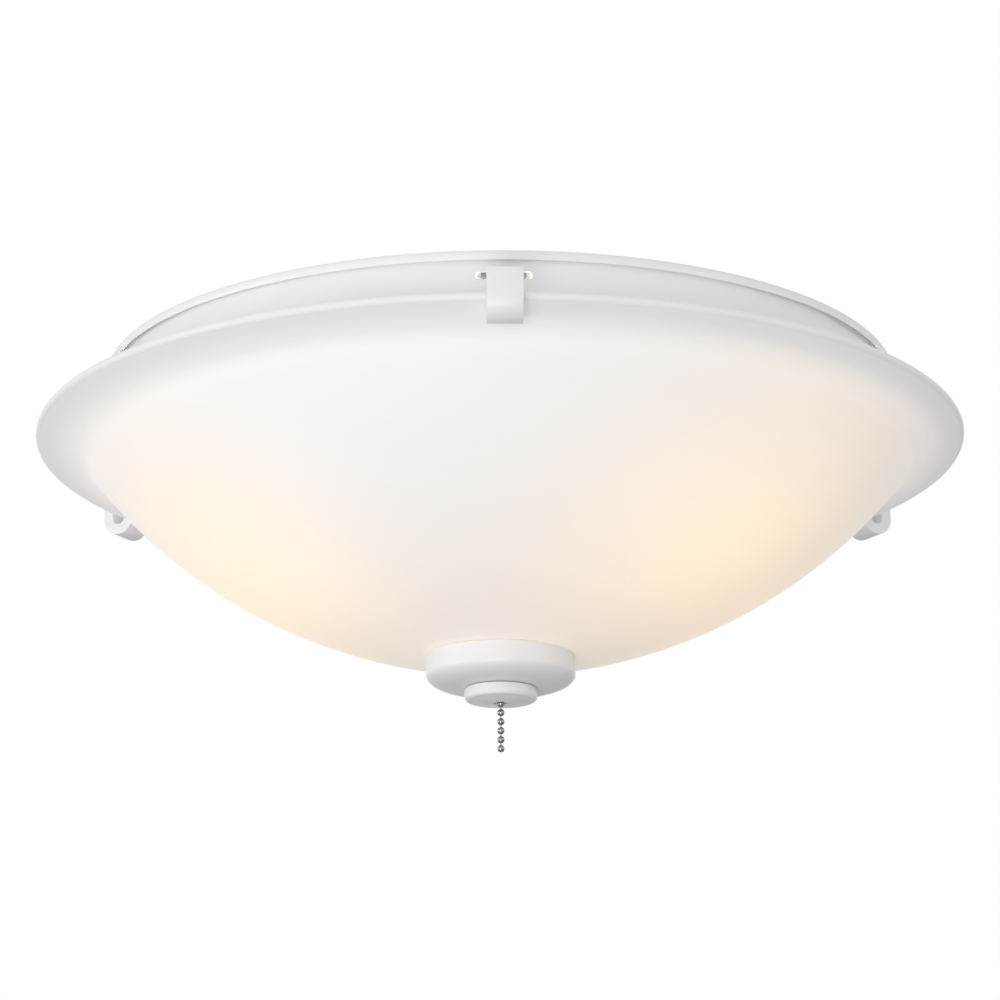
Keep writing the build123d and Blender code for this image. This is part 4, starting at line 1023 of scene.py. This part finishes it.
def groundMesh(head, under, foot, crown, crownRadius, underRadius, underEase, shank, tipRadius, tip, threadTop,
               pitch, depth, step, sides):
    def wave(radius, height, angle):
        if radius < shank + 0.1:
            return radius - depth * threadCut(pitch, height, angle) * (radius > tipRadius + 0.1)
        return min(radius, hexCorner(2 * head * math.cos(math.pi / 6), angle))

    path = [(0.0, tip), (tipRadius, tip)] + rowsBetween(shank, threadTop, under, step) \
        + [(underRadius, under), (head, under - underEase), (head, foot + crown), (crownRadius, foot),
           (0.0, foot)]
    return turnedMesh("groundScrew", path, sides, wave)


ground = newPiece("groundScrew", groundMesh(**groundShape))
slotMesh, slotTurn = bmesh.new(), Matrix.Rotation(groundSlot["turn"], 3, "Z")
bmesh.ops.create_cube(slotMesh, size=1.0, matrix=Matrix.LocRotScale(
    Vector((0, 0, groundShape["foot"])), slotTurn, Vector(groundSlot["size"])))
cutBy(ground, newPiece("slotCutter", closeMesh("slotCutter", slotMesh)))
ground.data.transform(Matrix.Translation(groundPlace))
finishPiece(ground, "fixture", "green_screw", "ground_screw")
print("nuts made")


# Screw shells of the sockets and the lamp bases in them, with rolled threads, seven to the inch
rolled = {"axis": -55.7, "pitch": 3.629, "depth": 0.9, "fade": 3.0, "first": 30.5, "last": 54.5, "from": 12.0,
          "step": 0.45, "sides": 64}
shellShape = {"start": 28.0, "end": 55.0, "radius": 14.3, "sheet": 0.6, "opening": 9.0, "corner": 1.2,
              "innerCorner": 1.3}
lampShape = {"start": 30.6, "end": 57.8, "radius": 13.2, "tip": 4.0, "tipDome": 0.1, "tipRound": 1.2,
             "tipSide": 0.9, "tipFlare": 0.6, "tipEnd": 32.8, "foot": 9.5, "footEase": (0.4, 0.2),
             "footEnd": 34.3}


def rolledWave(radius, out, angle):
    # out is the distance from the middle of the fixture; the thread fades at both ends of the shell
    ease = max(0.0, min(1.0, (out - rolled["first"]) / rolled["fade"], (rolled["last"] - out) / rolled["fade"]))
    return radius - rolled["depth"] * ease * threadCut(rolled["pitch"], out, angle) * (radius > rolled["from"])


def shellOutline(start, end, radius, sheet, opening, corner, innerCorner):
    return [(opening, start), (radius - sheet, start)] \
        + rowsBetween(radius, start + sheet, end, rolled["step"]) \
        + rowsBetween(radius - sheet, end, start + corner, rolled["step"]) \
        + [(radius - innerCorner, start + sheet), (opening, start + sheet)]


def lampOutline(start, end, radius, tip, tipDome, tipRound, tipSide, tipFlare, tipEnd, foot, footEase, footEnd):
    return [(0.0, start), (tip - tipRound, start + tipDome), (tip, start + tipSide),
            (tip + tipFlare, tipEnd - tipSide), (foot, tipEnd), (foot + footEase[0], tipEnd + footEase[1])] \
        + rowsBetween(radius, footEnd, end, rolled["step"]) + [(0.0, end)]


for side, spin in (("right", 0.0), ("left", 180.0)):
    lie = Matrix.Translation((0, 0, rolled["axis"] / 1000)) @ turnAbout("Z", spin) @ turnAbout("Y", 90)
    for name, path, node in (("socketShell", shellOutline(**shellShape), "socket_shell"),
                             ("lampBase", lampOutline(**lampShape), "lamp_base")):
        label = f"{name}.{side}"
        piece = newPiece(label, turnedMesh(label, path, rolled["sides"], rolledWave, 50.0))
        piece.data.transform(lie)
        finishPiece(piece, "fixture", "bare_aluminium", f"{node}_{side}")
print("shells made")


# Turned parts round the wire hole and the switch
nozzleShape = {"top": -20.5, "collar": 6.5, "collarHeight": 1.0, "radius": 4.7, "bottom": -26.7, "bore": 2.6,
               "depth": 0.4, "mouth": 0.3, "edge": 0.2, "clear": (0.2, 0.1), "sides": 36}
bushingShape = {"bore": 8.0, "outer": 9.4, "flange": 12.0, "under": -1.2, "flangeFoot": -2.6, "foot": -6.0,
                "endRound": 0.6, "topEdge": 0.3, "flangeEdge": 0.2, "flangeRound": 0.9, "rootRound": 0.5}


def nozzleMesh(top, collar, collarHeight, radius, bottom, bore, depth, mouth, edge, clear, sides):
    under = top - collarHeight
    path = roundCorners([(bore, bottom, mouth), (bore, top), (collar, top, edge), (collar, under, edge)], 3) \
        + rowsBetween(radius, under, bottom + mouth, pipeStep) + [(radius - depth, bottom)]
    wave = threadWave(pipePitch, depth, bottom + clear[0], under - clear[1], radius)
    return turnedMesh("switchNozzle", path, sides, wave, 50.0)


def bushingOutline(bore, outer, flange, under, flangeFoot, foot, endRound, topEdge, flangeEdge,
                   flangeRound, rootRound):
    return roundCorners([
        (bore, 0.0, endRound), (outer, 0.0, topEdge), (outer, under), (flange, under, flangeEdge),
        (flange, flangeFoot, flangeRound), (outer, flangeFoot, rootRound), (outer, foot, rootRound),
        (bore, foot, endRound)])


finishPiece(newPiece("switchNozzle", nozzleMesh(**nozzleShape)), "fixture", "brass", "switch_nozzle")
bushing = turnedPiece("wireBushing", bushingOutline(**bushingShape), "black_nylon", pathRadius=10.0, steps=96)
finishPiece(bushing, "fixture", "black_nylon", "wire_bushing")
print("switch parts made")
